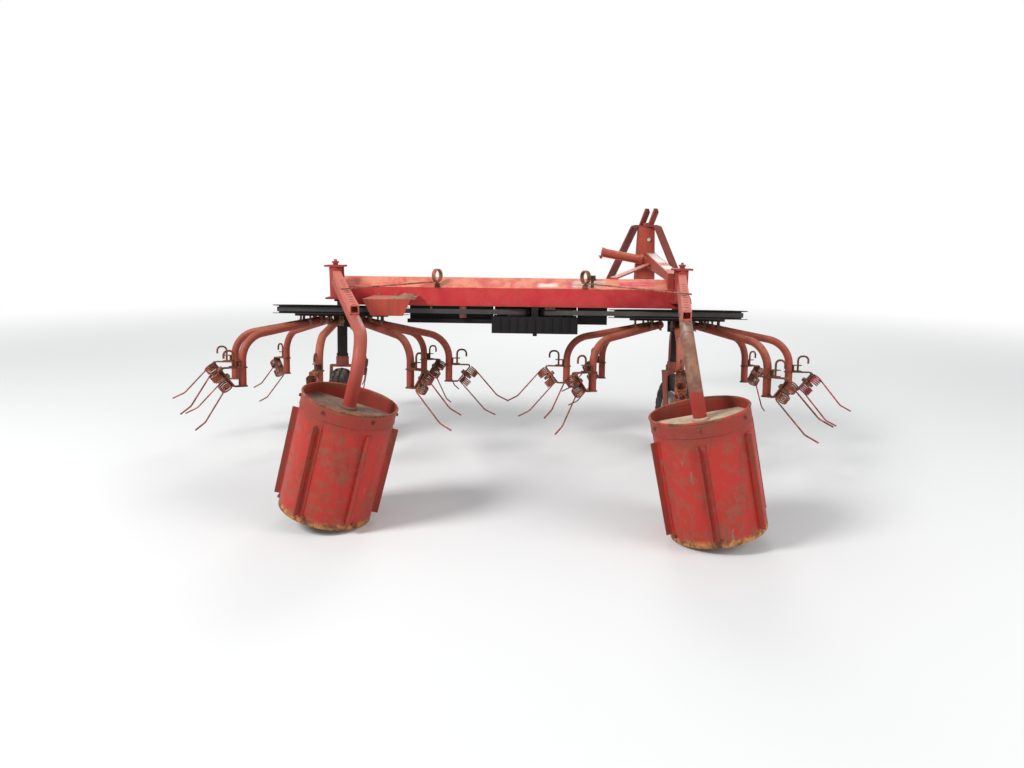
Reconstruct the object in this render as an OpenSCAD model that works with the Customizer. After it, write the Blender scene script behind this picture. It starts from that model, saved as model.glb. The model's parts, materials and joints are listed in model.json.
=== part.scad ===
// Hay tedder for a three point linkage: two belt driven tine rotors under one cross beam,
// two swath drums on swinging arms behind it and an offset headstock in front of it.
// Heights in the sections below are measured from the ground, distances from the middle
// of the beam; +X is the machine's right hand side, +Y is forward.

/* [Beam] */
// Reach of the cross beam beyond each rotor axis
beam_over = 0; // [-20:5:60]
// Height of the beam's underside above the ground
beam_z = 832; // [800:2:900]
// Depth of the beam from rear face to front face
beam_depth = 130; // [100:2:180]
// Height of the upright rear face
beam_face_h = 108; // [80:2:120]
// Height of the ridge behind the front face
beam_ridge_h = 162; // [130:2:190]
// Wall of the folded beam
beam_wall = 6; // [4:1:10]

/* [Rotors] */
// Distance between the two rotor axes
rotor_gap = 2000; // [1960:5:2200]
// Forward lean of the rotor axes
rotor_lean = 6; // [2:0.5:9]
// Number of arms on each rotor
arm_count = 8; // [4:1:8]
// Turn of the left rotor as parked
left_phase = -85; // [-90:1:0]
// Turn of the right rotor as parked
right_phase = -52; // [-90:1:0]
// Diameter of the fixed column that carries a rotor
column_d = 60; // [50:1:80]
// Radius of the belt rim's flanges
rim_r = 400; // [380:5:440]
// Height of the belt rim
rim_h = 50; // [44:1:60]
// Height of the middle of the belt rim
rim_z = 793; // [780:1:795]
// Radius of the hub plate that carries the arms
hub_plate_r = 275; // [230:5:300]

/* [Tine arms] */
// Diameter of the bent arm tube
arm_d = 42; // [34:1:46]
// Height at which the arms leave the hub plate
arm_root_z = 734; // [730:1:738]
// Radius at which an arm turns down
arm_r = 645; // [600:5:660]
// Drop of an arm between hub plate and bend
arm_drop = 100; // [90:2:110]
// Radius of the bend
arm_bend_r = 150; // [110:5:180]
// Height of the holder's top leg
holder_z = 472; // [440:2:500]
// Height between the holder's top and bottom legs
holder_h = 102; // [90:2:112]
// Reach of the top leg from the arm tube's centre
holder_reach = 138; // [130:2:150]
// Width of the holder strip
holder_w = 46; // [44:1:60]
// Thickness of the holder strip
holder_t = 7; // [5:1:9]

/* [Tines] */
// Diameter of the tine wire
wire_d = 9; // [7:0.5:10]
// Outside diameter of a tine coil
coil_d = 64; // [56:1:70]
// Turns in each of the two coils
coil_turns = 5; // [4:1:6]
// Gap between the two coils
coil_gap = 34; // [24:1:44]
// Length of a tine's straight stretch
tine_len = 215; // [160:5:220]
// Length of a tine's flatter end
tip_len = 78; // [60:2:84]
// Angle of the straight stretch below the horizontal
tine_dip = 48; // [44:1:50]
// Angle of the end stretch below the horizontal
tip_dip = 26; // [24:1:34]
// Sideways rake of the tines
tine_rake = 20; // [14:1:26]

/* [Drive] */
// Sideways place of the gearbox
gearbox_x = 165; // [150:5:170]
// Width of the gearbox
gearbox_w = 500; // [440:5:510]
// Depth of the gearbox
gearbox_depth = 240; // [200:5:280]
// Height of the gearbox
gearbox_h = 98; // [80:2:110]
// Radius of the two drive pulleys
pulley_r = 98; // [80:1:100]
// Distance between the two drive pulleys
pulley_gap = 270; // [264:2:300]
// Thickness of a belt
belt_t = 10; // [6:1:12]
// Width of a belt
belt_w = 26; // [18:1:28]
// Diameter of the input shaft
input_d = 34.9; // [30:0.1:40]
// Length of the input shaft that stands free
input_len = 90; // [70:2:120]

/* [Castor wheels] */
// Outside diameter of a tyre
tyre_d = 455; // [430:5:470]
// Width of a tyre
tyre_w = 100; // [80:2:110]
// Diameter of the wheel disc's rim
wheel_rim_d = 254; // [240:2:280]
// Distance of the axle behind the column's axis
trail = 45; // [30:5:60]
// Diameter of the axle
axle_d = 20; // [16:1:24]
// Gap between tyre and fork leg on each side
fork_gap = 13; // [10:1:20]
// Turn of the left castor as parked
left_steer = 4; // [-20:1:20]
// Turn of the right castor as parked
right_steer = 17; // [-20:1:20]

/* [Drum arms] */
// Diameter of the arm tube
drum_arm_d = 57; // [50:1:64]
// Reach of an arm from its pivot to the drum
drum_arm_reach = 1345; // [1320:5:1450]
// Height of the arm tube at the pivot
drum_arm_z = 968; // [955:2:980]
// Height of the arm tube where it turns down
drum_arm_end_z = 806; // [790:2:830]
// Radius of the bend above the drum
drum_arm_bend_r = 190; // [150:5:220]
// Inward swing of the left arm as parked
left_swing = 18; // [0:0.5:24]
// Inward swing of the right arm as parked
right_swing = 5.5; // [0:0.5:24]
// Diameter of the pivot pin
pivot_d = 30; // [24:1:36]
// Side of the notched square tube on the arm
square_w = 42; // [30:1:44]
// Length of the notched square tube
square_len = 960; // [800:5:980]
// Number of slots along the notched tube
slot_count = 12; // [6:1:14]
// Width of a pivot bracket's two plates
bracket_w = 112; // [90:2:130]

/* [Springs] */
// Diameter of a spring's wire
spring_d = 9; // [8:0.5:12]
// Outside diameter of a spring's coil
spring_coil_d = 80; // [60:2:90]
// Distance of the left spring's foot from the middle of the beam
left_spring_x = 412; // [380:2:460]
// Distance of the right spring's foot from the middle of the beam
right_spring_x = 455; // [420:2:480]
// Distance along the arm to the slot that holds a spring's leg
hook_at = 650; // [600:5:760]

/* [Drums] */
// Outside diameter of a drum
drum_d = 402; // [380:1:404]
// Height of a drum
drum_h = 520; // [480:5:560]
// Wall of a drum
drum_wall = 4; // [3:0.5:6]
// Depth of the cross plate below the drum's edge
cross_depth = 26; // [20:1:50]
// Width of the cross plate
cross_w = 190; // [150:5:220]
// Number of ribs around a drum
rib_count = 6; // [4:1:8]
// Leg of a rib's angle section
rib_w = 28; // [20:1:36]
// Length of a rib
rib_len = 400; // [340:5:420]
// Sideways lean of the left drum
left_lean = 14; // [8:1:16]
// Sideways lean of the right drum
right_lean = 12; // [8:1:16]
// Rearward lean of the left drum's top
left_back = 6; // [0:1:8]
// Rearward lean of the right drum's top
right_back = 1; // [0:1:8]

/* [Headstock] */
// Sideways place of the headstock's post
post_x = 935; // [900:5:960]
// Forward place of the post
post_y = 1130; // [1120:5:1200]
// Depth of the post
post_depth = 104; // [90:2:110]
// Width of the post at its upper end
post_top_w = 112; // [100:2:120]
// Width of the post at its lower end
post_low_w = 146; // [120:2:150]
// Height of the post's lower end
post_low_z = 870; // [860:5:880]
// Height of the post's upper end
post_top_z = 1312; // [1280:4:1340]
// Diameter of the pivots at the post's ends
head_pivot_d = 50; // [40:1:56]
// Width of the boom
boom_w = 68; // [60:2:80]
// Distance of the boom's middle to the right of the post's
boom_side = 30; // [0:2:34]
// Height of the boom
boom_h = 96; // [70:2:110]
// Wall of the folded boom and of the post
boom_wall = 6; // [4:1:10]
// Height of the boom's upper face at the post
boom_top_z = 1130; // [1100:5:1150]
// Width of the headstock strip
strip_w = 104; // [80:2:110]
// Thickness of the headstock strip
strip_t = 12; // [8:1:16]
// Half width of the frame at the top
frame_top_half = 90; // [86:2:110]
// Half width of the frame at the lower link pins
frame_low_half = 350; // [330:5:360]
// Height at which the strip turns upright
frame_bend_z = 800; // [780:5:820]
// Height of the lower link pins
lower_pin_z = 610; // [600:5:640]
// Diameter of the lower link pins
lower_pin_d = 22; // [20:0.5:28]
// Free length of a lower link pin
lower_pin_len = 84; // [70:2:90]
// Diameter of the top link holes
top_hole_d = 19.5; // [19:0.1:26]
// Gap between the two top link ears
ear_gap = 60; // [54:1:64]
// Thickness of a top link ear
ear_t = 10; // [8:1:14]
// Turn of the headstock to the right as parked
head_turn = 34; // [0:1:44]
// Diameter of the cross tube on the boom
cross_tube_d = 56; // [48:2:64]
// Reach of the cross tube to the left of the boom
cross_tube_reach = 320; // [260:5:340]
// Rise of the cross tube's free end
cross_tube_rise = 56; // [20:2:70]
// Forward place of the brace's end on the boom
brace_end_y = 900; // [700:10:940]
// Width of the brace
brace_w = 44; // [30:2:50]
// Thickness of the brace
brace_t = 10; // [6:1:12]
// Distance of the brace's foot on the beam from the boom's left side
brace_foot_out = 306; // [260:2:340]
// Depth of the brace's end below the boom's upper face at the post
brace_end_drop = 74; // [60:2:80]

/* [Fits] */
// Radial clearance of a turning fit
run_gap = 0.05; // [0.02:0.01:0.1]
// Clearance between faces that pass each other
face_gap = 0.3; // [0.2:0.1:0.6]
// Clearance between a spring's leg and the arm that swings below it
pass_gap = 7; // [6:0.5:12]

/* [Hidden] */
$fn = 48;

// Every node is drawn around the middle of the beam on the ground, then moved so that the
// point midway between the lower link pins becomes the origin
hitch = [post_x, post_y, lower_pin_z];
left = -1;
right = 1;

red = "firebrick";
faded = "indianred";
rust = "saddlebrown";
dark = "dimgray";
black = "black";

// Heights on a rotor's own upright axis, before it leans forward
rim_low = rim_z - rim_h / 2;
rim_flange_t = 4;
rim_groove_depth = 34;
hub_plate_z = arm_root_z + arm_d / 2;
hub_low_z = arm_root_z - arm_d / 2 - 22;
hub_top_z = beam_z - 14;
hub_r = 52;
column_low_z = tyre_d + 60;
arm_low_z = holder_z - holder_h - 4;
arm_start_r = 128;
holder_slope_in = 84;
collar_wall = 6;
tine_bend_r = 30;

// Belt drive
groove_r = rim_r - rim_groove_depth;
pulley_flange = belt_t + 5;
pulley_h = belt_w + 12;
gearbox_top = rim_z - pulley_h / 2 - 6;
pulley_shaft_d = 36;
input_z = gearbox_top - gearbox_h / 2;

// Castors, in the leaned frame
wheel_y = -trail;
wheel_z = beam_z + (tyre_d / 2 - beam_z + wheel_y * sin(rotor_lean)) / cos(rotor_lean);
fork_in = tyre_w / 2 + fork_gap;
fork_t = 8;
fork_top_z = wheel_z + tyre_d / 2 + 14;
stem_d = 34;
stem_in = 130;

beam_len = rotor_gap + 2 * beam_over;
top_slope = (beam_ridge_h - beam_face_h) / (beam_depth - 30);

// Drum arms and drums
arm_pivot_y = -beam_depth / 2 - 46;
arm_root = [0, -pivot_d / 2 - 5, drum_arm_z];
square_wall = 5;
square_start = 29;
slot_from = 300;
arm_sleeve_d = drum_arm_d + 17;
bracket_plate_t = 10;
arm_sleeve_h = 176;
arm_sleeve_z = drum_arm_z - arm_sleeve_h / 2;
pivot_top_z = drum_arm_z + arm_sleeve_h / 2 + bracket_plate_t + 12;
spindle_d = 38;
spindle_len = 300;
drum_band_h = 58;
hub_tube_wall = 8;

// A rotation about +Z that turns a left hand thing's inward swing and a right hand one's alike
function swing_of(side) = side == left ? left_swing : -right_swing;
function phase_of(side) = side == left ? left_phase : right_phase;
function steer_of(side) = side == left ? left_steer : right_steer;
function lean_of(side) = side == left ? left_lean : -right_lean;
function back_of(side) = side == left ? left_back : right_back;
function unit(v) = v / norm(v);
bar_swell = 0.3;
bar_lap = 2;
bend_steps = 4;

// Springs
spring_mean_r = (spring_coil_d - spring_d) / 2;
spring_foot_y = -beam_depth / 2 + 7;
spring_foot_d = 14;

// Headstock
head_lap = 22;
leg_below_pin = 30;
boom_x = post_x + boom_side;
boom_left = boom_x - boom_w / 2;
cross_tube_low_z = boom_top_z - 52;
cross_tube_back = 78;

module in_frame() {
    translate(-hitch) children();
}

// Leans what it holds about the beam's underside, as the rotor axes lean forward
module leaned() {
    translate([0, 0, beam_z]) rotate([-rotor_lean, 0, 0]) translate([0, 0, -beam_z]) children();
}

module on_rotor(side) {
    leaned() translate([side * rotor_gap / 2, 0, 0]) children();
}

module around_rotor(side) {
    for (i = [0 : arm_count - 1])
        on_rotor(side) rotate([0, 0, phase_of(side) + i * 360 / arm_count]) children();
}

module rod(a, b, d) {
    v = b - a;
    translate(a) rotate([0, acos(v[2] / norm(v)), atan2(v[1], v[0])]) cylinder(d = d, h = norm(v));
}

// Distance from a corner to the point where its bend begins
function tangent_len(p, i, r) =
    let (u = unit(p[i - 1] - p[i]), v = unit(p[i + 1] - p[i])) r / tan(acos(u * v) / 2);

// Round bar through the points p, each inner corner bent to the centre line radius r; the
// straight stretches are a hair thicker and lap over the bends
module bent_bar(p, r, d) {
    last = len(p) - 1;
    lap = min(bar_lap, r / 20);
    cut = [for (i = [0 : last]) i == 0 || i == last ? 0 : tangent_len(p, i, r)];
    for (i = [0 : last - 1]) {
        u = unit(p[i + 1] - p[i]);
        a = p[i] + u * (cut[i] - (i > 0 ? lap : 0));
        b = p[i + 1] - u * (cut[i + 1] - (i < last - 1 ? lap : 0));
        rod(a, b, d + bar_swell);
    }
    for (i = [1 : last - 1]) {
        u = unit(p[i - 1] - p[i]);
        v = unit(p[i + 1] - p[i]);
        half = acos(u * v) / 2;
        c = p[i] + unit(u + v) * r / sin(half);
        ex = unit(p[i] + u * cut[i] - c);
        ez = unit(cross(ex, p[i] + v * cut[i] - c));
        ey = cross(ez, ex);
        multmatrix([
            [ex[0], ey[0], ez[0], c[0]],
            [ex[1], ey[1], ez[1], c[1]],
            [ex[2], ey[2], ez[2], c[2]],
            [0, 0, 0, 1]
        ]) rotate_extrude(angle = 180 - 2 * half) translate([r, 0]) circle(d = d);
    }
}

// Points along a flat path whose inner corners are rounded to the radius r in short steps
function rounded(p, r) = [
    for (i = [0 : len(p) - 1]) each i == 0 || i == len(p) - 1 ? [p[i]] :
        let (u = unit(p[i - 1] - p[i]), v = unit(p[i + 1] - p[i]), half = acos(u * v) / 2,
            c = p[i] + unit(u + v) * r / sin(half), a = p[i] + u * r / tan(half) - c,
            b = p[i] + v * r / tan(half) - c, way = cross(a, b) > 0 ? 1 : -1)
        [for (k = [0 : bend_steps])
            let (t = way * (180 - 2 * half) * k / bend_steps)
            c + [a[0] * cos(t) - a[1] * sin(t), a[0] * sin(t) + a[1] * cos(t)]]
];

// Sideways step of a flat path's outline at its point i
function mitre(p, i) =
    let (u = unit(p[max(i, 1)] - p[max(i, 1) - 1]), last = len(p) - 1,
        v = unit(p[min(i, last - 1) + 1] - p[min(i, last - 1)]),
        m = unit([-u[1] - v[1], u[0] + v[0]]))
    m / (m * [-u[1], u[0]]);

// Strip of width w and thickness t, bent in the XZ plane along the points p
module bent_strip(p, r, w, t) {
    q = rounded(p, r);
    last = len(q) - 1;
    translate([0, w / 2, 0]) rotate([90, 0, 0]) linear_extrude(w) polygon(concat(
        [for (i = [0 : last]) q[i] + mitre(q, i) * t / 2],
        [for (i = [last : -1 : 0]) q[i] - mitre(q, i) * t / 2]));
}

// Beam and what is bolted to it

module beam_section(inset) {
    y0 = -beam_depth / 2 + inset;
    y1 = beam_depth / 2 - inset;
    ridge_y = beam_depth / 2 - 30;
    polygon([[y0, inset], [y0, beam_face_h - inset / 2], [ridge_y, beam_ridge_h - inset],
        [y1, beam_ridge_h - inset], [y1, inset]]);
}

module beam() {
    color(red) difference() {
        union() {
            translate([-beam_len / 2, 0, beam_z]) rotate([90, 0, 90]) linear_extrude(beam_len) difference() {
                beam_section(0);
                beam_section(beam_wall);
            }
            spring_foot(left);
            spring_foot(right);
        }
        for (side = [left, right])
            translate([side * rotor_gap / 2, 0, beam_z - 1]) cylinder(d = column_d + 2, h = beam_wall + 2);
    }
}

// Upright pin on the beam's top that carries a spring's coil
module spring_foot(side) {
    low = beam_z + beam_face_h - 2;
    high = hook_point(side)[2] - spring_d / 2 - face_gap;
    translate([spring_x(side), spring_foot_y, low]) cylinder(d = spring_foot_d, h = high - low);
}

// Two plates behind the beam's end that hold the drum arm's pivot pin
module pivot_bracket(side) {
    x = side * rotor_gap / 2;
    w = arm_sleeve_d;
    y_rear = arm_pivot_y - arm_sleeve_d / 2 - 4;
    color(red) union() {
        for (z = [arm_sleeve_z - bracket_plate_t - face_gap, arm_sleeve_z + arm_sleeve_h + face_gap])
            translate([x - bracket_w / 2, y_rear, z])
                cube([bracket_w, -beam_depth / 2 - face_gap - y_rear, bracket_plate_t]);
        translate([x - w / 2, -beam_depth / 2 - face_gap - 6, arm_sleeve_z - bracket_plate_t - face_gap])
            cube([w, 6, arm_sleeve_h + 2 * bracket_plate_t + 2 * face_gap]);
        translate([x, arm_pivot_y, arm_sleeve_z - bracket_plate_t - 14])
            cylinder(d = pivot_d, h = pivot_top_z - arm_sleeve_z + bracket_plate_t + 14);
        translate([x, arm_pivot_y, pivot_top_z]) cylinder(d = pivot_d + 10, h = 10);
    }
}

// Bent guard over the belt rim's rear edge: a flange off the beam and a plate that hangs from it
module guard_plate() {
    w_top = 270;
    w_low = 180;
    h = 92;
    x = -650;
    y_plate = -362;
    z_flange = beam_z + 56;
    color(red) translate([x, 0, z_flange]) union() {
        translate([-w_top / 2, y_plate, 0]) cube([w_top, -beam_depth / 2 - face_gap - y_plate, 4]);
        translate([0, y_plate + 4, 4 - h]) rotate([90, 0, 0]) linear_extrude(4)
            polygon([[-w_low / 2, 0], [w_low / 2, 0], [w_top / 2, h], [-w_top / 2, h]]);
    }
}

// Boom from the beam to the headstock's post, folded from sheet and open below
module boom() {
    foot_y = -beam_depth / 2 + 3;
    foot_z = beam_z + beam_face_h + boom_h;
    end_y = post_y - post_depth / 2;
    ridge_z = beam_z + beam_ridge_h;
    t = boom_wall;
    color(red) difference() {
        translate([boom_left, 0, 0]) rotate([90, 0, 90]) linear_extrude(boom_w)
            polygon([[foot_y, beam_z + beam_face_h + 3 * top_slope], [beam_depth / 2 - 30, ridge_z],
                [beam_depth / 2 + 20, ridge_z], [end_y, boom_top_z - boom_h], [end_y, boom_top_z],
                [foot_y, foot_z]]);
        translate([boom_left + t, 0, 0]) rotate([90, 0, 90]) linear_extrude(boom_w - 2 * t)
            polygon([[foot_y + t, beam_z], [end_y - t, beam_z], [end_y - t, boom_top_z - t],
                [foot_y + t, foot_z - t]]);
    }
}

module post_body(inset) {
    low_w = post_low_w / 2 - inset;
    top_w = post_top_w / 2 - inset;
    translate([0, post_depth / 2 - inset, 0]) rotate([90, 0, 0]) linear_extrude(post_depth - 2 * inset)
        polygon([[-low_w, post_low_z + inset], [low_w, post_low_z + inset],
            [top_w, post_top_z - inset], [-top_w, post_top_z - inset]]);
}

// Box post that widens downwards, with drain holes below and a round pivot at each end
module post() {
    color(red) translate([post_x, post_y, 0]) union() {
        difference() {
            post_body(0);
            post_body(boom_wall);
            for (side = [left, right])
                translate([side * (head_pivot_d + post_low_w) / 4, 0, post_low_z - 1])
                    cylinder(d = 22, h = boom_wall + 2);
        }
        translate([0, 0, frame_bend_z - 36]) cylinder(d = head_pivot_d, h = post_top_z + 66 - frame_bend_z);
    }
}

// Fixed column of a rotor, with a flange under the beam
module column(side) {
    color(dark) on_rotor(side) difference() {
        union() {
            translate([0, 0, column_low_z]) cylinder(d = column_d, h = beam_z + 60 - column_low_z);
        }
        translate([0, 0, column_low_z - 1]) cylinder(d = stem_d + 2 * run_gap, h = stem_in + 2);
    }
}

// Drive

function pulley_x(side) = gearbox_x + side * pulley_gap / 2;

module gearbox() {
    color(black) leaned() union() {
        translate([gearbox_x - gearbox_w / 2, -gearbox_depth / 2, gearbox_top - gearbox_h])
            cube([gearbox_w, gearbox_depth, gearbox_h]);
        for (side = [left, right])
            translate([pulley_x(side), 0, gearbox_top - 1]) cylinder(d = pulley_shaft_d, h = pulley_h + 8);
        translate([gearbox_x, gearbox_depth / 2 - 1, input_z]) rotate([-90, 0, 0]) cylinder(d = 90, h = 40);
        translate([gearbox_x, gearbox_depth / 2 + 30, input_z]) rotate([-90, 0, 0])
            cylinder(d = input_d, h = input_len + 9);
        translate([-rotor_gap / 2 + rim_r, -14, gearbox_top - 44])
            cube([gearbox_x - gearbox_w / 2 - rim_r + rotor_gap / 2 + 1, 28, 24]);
        for (y = [-gearbox_depth / 2 + 20, gearbox_depth / 2 - 50])
            translate([gearbox_x - 20, y, gearbox_top - 1]) cube([40, 30, beam_z - gearbox_top - 5]);
    }
}

module drive_pulley(side) {
    color(dark) leaned() translate([pulley_x(side), 0, rim_z - pulley_h / 2]) difference() {
        union() {
            cylinder(r = pulley_r - 6, h = pulley_h);
            cylinder(r = pulley_r + pulley_flange, h = 4);
            translate([0, 0, pulley_h - 4]) cylinder(r = pulley_r + pulley_flange, h = 4);
        }
        translate([0, 0, -1]) cylinder(d = pulley_shaft_d + 2 * run_gap, h = pulley_h + 2);
    }
}

module belt_loop(side, grow) {
    hull() {
        translate([side * rotor_gap / 2, 0]) circle(r = groove_r + face_gap + grow, $fn = 96);
        translate([pulley_x(side), 0]) circle(r = pulley_r - 6 + face_gap + grow, $fn = 48);
    }
}

module belt(side) {
    color(black) leaned() translate([0, 0, rim_z - belt_w / 2]) linear_extrude(belt_w) difference() {
        belt_loop(side, belt_t);
        belt_loop(side, 0);
    }
}

// Rotor

module belt_rim(side) {
    color(dark) on_rotor(side) rotate_extrude($fn = 96) union() {
        translate([groove_r - 5, rim_low]) square([5, rim_h]);
        translate([groove_r - 5, rim_low]) square([rim_groove_depth + 5, rim_flange_t]);
        translate([groove_r - 5, rim_low + rim_h - rim_flange_t])
            square([rim_groove_depth + 5, rim_flange_t]);
        translate([hub_r + face_gap, rim_low]) square([groove_r - hub_r, 5]);
    }
}

module hub(side) {
    color(dark) on_rotor(side) difference() {
        union() {
            translate([0, 0, hub_low_z]) cylinder(r = hub_r, h = hub_top_z - hub_low_z);
            translate([0, 0, hub_plate_z]) cylinder(r = hub_plate_r, h = rim_low - hub_plate_z);
        }
        translate([0, 0, hub_low_z - 1])
            cylinder(d = column_d + 2 * run_gap, h = hub_top_z - hub_low_z + 2);
    }
}

module tine_arms(side) {
    color(faded) around_rotor(side) bent_bar([
        [arm_start_r, 0, arm_root_z],
        [arm_r, 0, arm_root_z - arm_drop],
        [arm_r, 0, arm_low_z]
    ], arm_bend_r, arm_d);
}

// Bent strip that carries a double tine: top leg, slanted plate and bottom leg
module tine_holders(side) {
    low_z = holder_z - holder_h;
    eye_r = arm_d / 2 + collar_wall;
    color(rust) around_rotor(side) difference() {
        union() {
            for (z = [holder_z, low_z])
                translate([arm_r, 0, z - holder_t / 2]) cylinder(r = eye_r, h = holder_t);
            bent_strip([[arm_r, holder_z], [arm_r + holder_reach, holder_z],
                [arm_r + holder_reach - holder_slope_in, low_z], [arm_r, low_z]],
                holder_t * 1.5, holder_w, holder_t);
        }
        translate([arm_r, 0, low_z - holder_t])
            cylinder(d = arm_d + bar_swell + 2 * face_gap, h = holder_h + 2 * holder_t);
    }
}

// Hooked pin that locks a holder, in a small channel on the arm tube
module lock_pins(side) {
    face = arm_r + (arm_d + bar_swell) / 2 + face_gap;
    x = face + 28;
    z = holder_z + holder_t / 2;
    color(rust) around_rotor(side) union() {
        translate([face, -20, z + face_gap]) cube([46, 40, 5]);
        translate([face, -20, z + 33]) cube([46, 40, 5]);
        translate([face, -20, z + face_gap]) cube([5, 40, 37]);
        bent_bar([[x, 0, z + 1], [x, 0, z + 88], [x + 56, 0, z + 88], [x + 56, 0, z + 46]], 24, 11);
    }
}

// Double coil under the slanted plate, clamped by a bolt, with a tine leaving each coil; the
// legs are a hair thinner than the coil's wire
module tines(side) {
    top = [arm_r + holder_reach, holder_z];
    low = [arm_r + holder_reach - holder_slope_in, holder_z - holder_h];
    slope = atan2(top[1] - low[1], top[0] - low[0]);
    normal = [sin(slope), -cos(slope)];
    along = [cos(slope), sin(slope)];
    mid = (top + low) / 2;
    centre = mid + (holder_t / 2 + face_gap + coil_d / 2) * normal;
    mean_r = (coil_d - wire_d) / 2;
    step = wire_d * 0.96;
    last_turn = wire_d / 2 + (coil_turns - 1) * step;
    d1 = [cos(tine_dip) * cos(tine_rake), cos(tine_dip) * sin(tine_rake), -sin(tine_dip)];
    d2 = [cos(tip_dip) * cos(tine_rake), cos(tip_dip) * sin(tine_rake), -sin(tip_dip)];
    color(rust) around_rotor(side) union() {
        for (end = [-1, 1]) {
            start = centre + along * end * coil_gap / 2;
            leg = start + along * end * last_turn;
            p0 = [leg[0], -mean_r, leg[1]];
            p1 = p0 + d1 * tine_len;
            translate([start[0], 0, start[1]]) rotate([0, 90 - slope + (end < 0 ? 180 : 0), 0])
                rotate_extrude() union() {
                    for (k = [0 : coil_turns - 1])
                        translate([mean_r, wire_d / 2 + k * step]) circle(d = wire_d, $fn = 24);
                    translate([mean_r - 1.5, wire_d / 2]) square([3, last_turn - wire_d / 2]);
                }
            bent_bar([p0, p1, p1 + d2 * tip_len], tine_bend_r, wire_d - 2 * bar_swell);
        }
        translate([centre[0], 0, centre[1]]) rotate([0, 90 - slope, 0])
            translate([-mean_r, 0, -coil_gap / 2 - wire_d / 2])
                cylinder(d = wire_d - 2, h = coil_gap + wire_d);
        translate([mid[0], 0, mid[1]]) rotate([0, 180 - slope, 0])
            translate([0, 0, holder_t / 2 + face_gap]) cylinder(d = coil_gap - 8, h = 16);
    }
}

// Castor wheels

module on_castor(side) {
    on_rotor(side) rotate([0, 0, steer_of(side)]) children();
}

module castor_fork(side) {
    leg_top = fork_top_z;
    color(red) on_castor(side) difference() {
        union() {
            translate([0, 0, leg_top]) cylinder(d = stem_d, h = column_low_z + stem_in - 6 - leg_top);
            translate([0, 0, leg_top]) cylinder(d = column_d + 16, h = column_low_z - face_gap - leg_top);
            translate([-fork_in - fork_t, -30, leg_top - 10]) cube([2 * fork_in + 2 * fork_t, 60, 14]);
            for (m = [0, 1]) mirror([m, 0, 0])
                translate([fork_in, 0, 0]) rotate([90, 0, 90]) linear_extrude(fork_t)
                    polygon([[-30, leg_top + 2], [30, leg_top + 2], [wheel_y + 26, wheel_z - 26],
                        [wheel_y - 26, wheel_z - 26]]);
            translate([-fork_in - fork_t - 10, wheel_y, wheel_z]) rotate([0, 90, 0])
                cylinder(d = axle_d, h = 2 * fork_in + 2 * fork_t + 20);
        }
    }
}

module wheel(side) {
    color("lightgray") on_castor(side) translate([0, wheel_y, wheel_z]) rotate([0, 90, 0]) difference() {
        union() {
            translate([0, 0, -tyre_w / 2 + 8]) cylinder(d = wheel_rim_d, h = tyre_w - 16);
            translate([0, 0, -tyre_w / 2 - 6]) cylinder(d = 60, h = tyre_w + 12);
        }
        for (m = [0, 1]) mirror([0, 0, m])
            translate([0, 0, 10]) difference() {
                cylinder(d = wheel_rim_d - 16, h = tyre_w);
                translate([0, 0, -1]) cylinder(d = 60, h = tyre_w + 2);
            }
        translate([0, 0, -tyre_w]) cylinder(d = axle_d + 2 * run_gap, h = 2 * tyre_w);
    }
}

module tyre(side) {
    r0 = wheel_rim_d / 2;
    r1 = tyre_d / 2;
    w = tyre_w / 2;
    color("black") on_castor(side) translate([0, wheel_y, wheel_z]) rotate([0, 90, 0])
        rotate_extrude($fn = 96) polygon([[r0, -w + 12], [r0 + 14, -w + 4], [r1 - 42, -w],
            [r1 - 14, -w + 8], [r1 - 3, -w + 24], [r1, 0], [r1 - 3, w - 24], [r1 - 14, w - 8],
            [r1 - 42, w], [r0 + 14, w - 4], [r0, w - 12]]);
}

// Drum arms and drums

module on_arm(side) {
    translate([side * rotor_gap / 2, arm_pivot_y, 0]) rotate([0, 0, swing_of(side)]) children();
}

// Axis of a drum as a unit vector in the arm's frame, pointing up
function drum_axis(side) =
    unit([tan(lean_of(side)), -tan(back_of(side)), 1]);

// Middle of a drum's upper edge in the arm's frame, so that its lower edge meets the ground
function drum_top(side) =
    let (a = drum_axis(side), low = drum_d / 2 * sqrt(1 - a[2] * a[2]))
        [0, -drum_arm_reach, drum_h * a[2] + low];

// Puts +Z on a drum's axis with the origin at the middle of its upper edge
module on_drum(side) {
    a = drum_axis(side);
    on_arm(side) translate(drum_top(side)) rotate([0, acos(a[2]), atan2(a[1], a[0])]) children();
}

// Corner of the arm's bend above the drum, in the arm's frame
function arm_corner(side) =
    let (a = drum_axis(side), top = drum_top(side)) top + a * (drum_arm_end_z - top[2]) / a[2];

module drum_arm(side) {
    a = drum_axis(side);
    top = drum_top(side);
    color(red) on_arm(side) difference() {
        union() {
            translate([0, 0, arm_sleeve_z]) cylinder(d = arm_sleeve_d, h = arm_sleeve_h);
            bent_bar([arm_root, arm_corner(side), top - a * (cross_depth + 14)], drum_arm_bend_r, drum_arm_d);
            rod(top - a * (cross_depth + 13), top - a * spindle_len, spindle_d);
        }
        translate([0, 0, arm_sleeve_z - 1]) cylinder(d = pivot_d + 2 * run_gap, h = arm_sleeve_h + 2);
    }
}

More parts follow.
